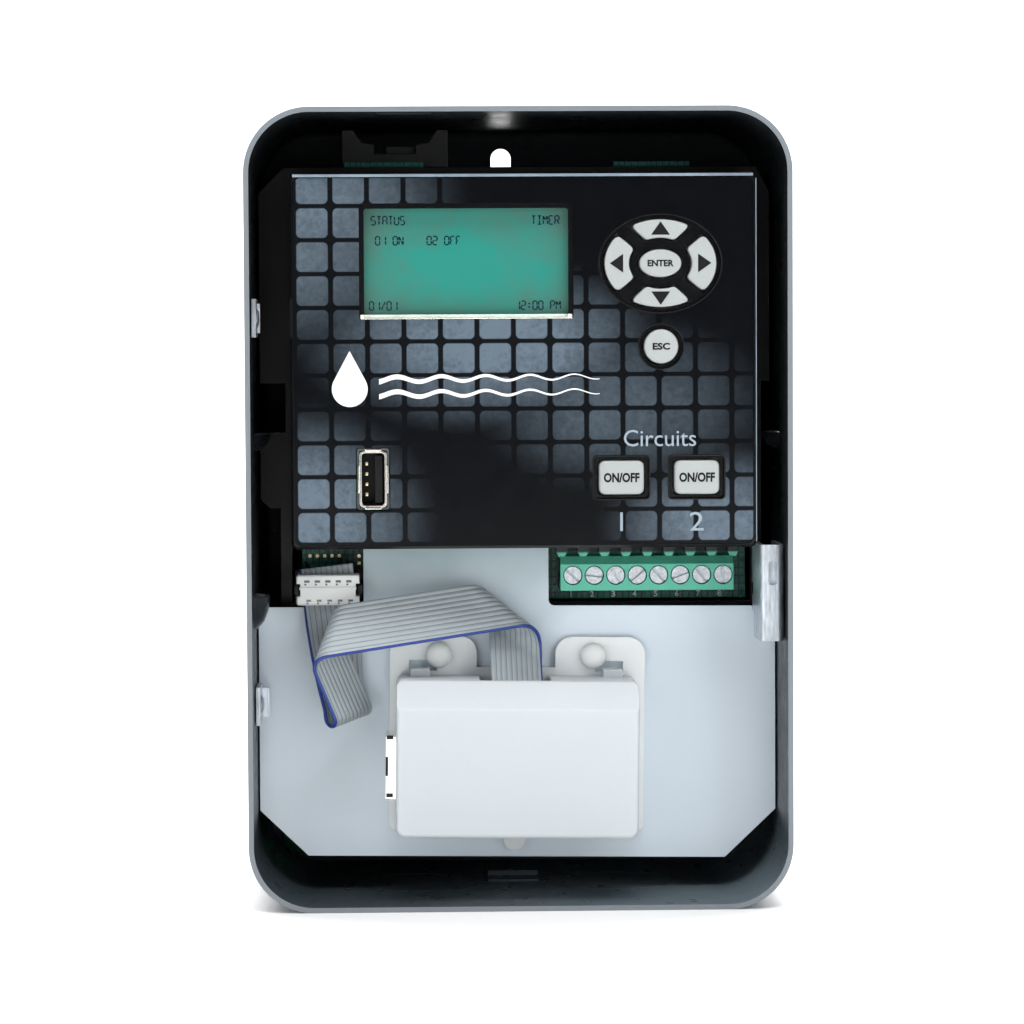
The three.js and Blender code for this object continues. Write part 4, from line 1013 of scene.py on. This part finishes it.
# ------------------------------------------------------------------ build
def finishes():
    return {
        "paint": case_paint(),
        "zinc": finish("zinc_plate", (0.57, 0.62, 0.67), 0.3, (0.28, 0.5), 0.92, (0.25, 0.02), 1.6,
                       (0.4, 1, 3)),
        "screw": finish("screw_steel", (0.6, 0.64, 0.68), 0.25, (0.36, 0.5), 0.75, (0.2, 0.02), 0.8),
        "green_screw": finish("earth_screw_green", (0.03, 0.3, 0.13), 0.2, (0.25, 0.4), 0.7),
        "black": finish("moulded_black", (0.004, 0.004, 0.005), 0.15, (0.3, 0.45), grain=(0.3, 0.01),
                        specular=0.3),
        "gloss": finish("moulded_gloss", (0.004, 0.0042, 0.005), 0.15, (0.14, 0.22), grain=(0.5, 0.004)),
        "overlay": overlay_film(),
        "glass": display_glass(),
        "ink": finish("black_ink", (0.006, 0.006, 0.007), 0.1, (0.45, 0.6), specular=0.2),
        "display_ink": finish("display_ink", (0.002, 0.008, 0.03), 0.1, (0.3, 0.4), specular=0.2),
        "white_ink": finish("white_ink", (0.85, 0.86, 0.86), 0.03, (0.3, 0.45), specular=0.2),
        "grey_ink": finish("grey_ink", (0.3, 0.36, 0.42), 0.05, (0.3, 0.45), specular=0.2),
        "key": finish("key_plastic", (0.38, 0.405, 0.405), 0.03, (0.35, 0.5), grain=(0.2, 0.006)),
        "board": board_mask(),
        # Bright nickel for the jack and the socket's mouth, and a painted highlight on the display window's
        # lower bevel.
        "bright": finish("bright_nickel_and_painted_highlight", (0.85, 0.82, 0.75), 0.08, (0.12, 0.25), 1.0),
        "gold": finish("gold_shell", (0.8, 0.68, 0.42), 0.1, (0.2, 0.35), 1.0),
        "terminal": terminal_plastic(),
        "nylon": finish("white_nylon", (0.82, 0.84, 0.83), 0.03, (0.35, 0.5), subsurface=0.2),
        "ribbon": finish("ribbon_grey", (0.33, 0.375, 0.4), 0.05, (0.35, 0.5), grain=(0.5, 0.01)),
        # Painted shade: a darker grey of the same insulation for the valleys between the wires.
        "ribbon_groove_painted_shade": finish("ribbon_groove_painted_shade", (0.2, 0.228, 0.245), 0.1, (0.5, 0.6), specular=0.2),
        "ribbon_blue": finish("ribbon_blue", (0.014, 0.038, 0.22), 0.1, (0.3, 0.45)),
        "sheet": milky_sheet(),
        "module": finish("module_base", (0.87, 0.92, 0.93), 0.02, (0.35, 0.5), subsurface=0.5),
        # Painted shade: the cover is the same white nylon as the base, darkened against the stronger light
        # it gets at the front.
        "cover": finish("module_cover", (0.54, 0.58, 0.605), 0.015, (0.35, 0.5), patch=30, subsurface=0.5),
        "catch": finish("catch_black", (0.035, 0.036, 0.038), 0.15, (0.4, 0.5), specular=0.3),
        # Painted highlight: a lighter blue-grey that stands for the light on the black panel's bevel.
        "edge": finish("painted_highlight_edge", (0.22, 0.28, 0.34), 0.2, (0.15, 0.25)),
        # Dark steel for the transformer core and the plug's windows, and painted shade on the socket's
        # shell.
        "core": finish("core_steel", (0.2, 0.21, 0.22), 0.2, (0.4, 0.6), 0.8, stretch=(8, 8, 0.4)),
        "copper": finish("winding_copper", (0.55, 0.2, 0.08), 0.2, (0.3, 0.45), 0.8, stretch=(0.2, 8, 8)),
        "relay": finish("relay_blue", (0.02, 0.09, 0.35), 0.08, (0.25, 0.4)),
        "sleeve": finish("capacitor_sleeve", (0.015, 0.016, 0.02), 0.15, (0.2, 0.35)),
    }


def finish_cad_nodes(looks):
    carry(looks["paint"], "case_shell", width=0.25)
    carry(looks["zinc"], "hinge_lug_upper", "hinge_lug_lower", "latch_bracket", width=0.2)
    carry(looks["green_screw"], "ground_screw", width=0.1)
    carry(looks["black"], "module_tray", "lcd_frame", "header_shroud", "board_link", "usb_tongue",
          "line_terminal_block", width=0.2)
    carry(looks["gloss"], "bezel", width=0)
    carry(looks["overlay"], "overlay", width=0)
    carry(looks["glass"], "lcd_glass", "lcd_backlight", width=0)
    carry(looks["key"], "keypad_mat", width=0.15)
    carry(looks["board"], "display_pcb", "logic_pcb", "network_pcb", "power_pcb", width=0.1)
    # Painted shade: the socket's shell takes the dark steel finish, darker than its bright mouth of the
    # same metal.
    carry(looks["core"], "usb_shell", width=0.15)
    carry(looks["bright"], "rj45_jack", width=0.15)
    carry(looks["terminal"], "terminal_block", width=0.15)
    carry(looks["nylon"], "ribbon_plug", "network_plug", width=0.2)
    carry(looks["sheet"], "barrier_sheet", width=0.3, segments=3)
    carry(looks["module"], "network_base", width=0.07)
    carry(looks["cover"], "network_cover", width=0.5, segments=3)
    carry(looks["catch"], "top_catch", width=0.2)
    carry(looks["nylon"], "push_rivet_left", "push_rivet_right", width=0.4, segments=3)
    carry(looks["core"], "transformer_core", width=0.2)
    carry(looks["copper"], "transformer_coil", width=0.6)
    carry(looks["relay"], "relay_1", "relay_2", width=0.3)
    carry(looks["sleeve"], "backup_capacitor", width=0.5)


camera()
studio()
LOOKS = finishes()
ribbon_cable(LOOKS["ribbon"], LOOKS["ribbon_blue"], LOOKS["ribbon_groove_painted_shade"])
finish_cad_nodes(LOOKS)
keys(LOOKS["key"], LOOKS["ink"])
overlay_print(LOOKS["white_ink"], LOOKS["grey_ink"])
pocket_rims(LOOKS["gloss"])
screws(LOOKS["screw"])
bezel_edge(LOOKS["edge"])
latch_tongue(LOOKS["zinc"])
display_text(LOOKS["display_ink"])
window_sill(LOOKS["bright"])
usb_socket(LOOKS["bright"], LOOKS["black"], LOOKS["gold"])
board_details(LOOKS["gold"], LOOKS["black"], LOOKS["white_ink"])
plug_details(LOOKS["core"], LOOKS["nylon"])
jack_details(LOOKS["black"], LOOKS["gold"])
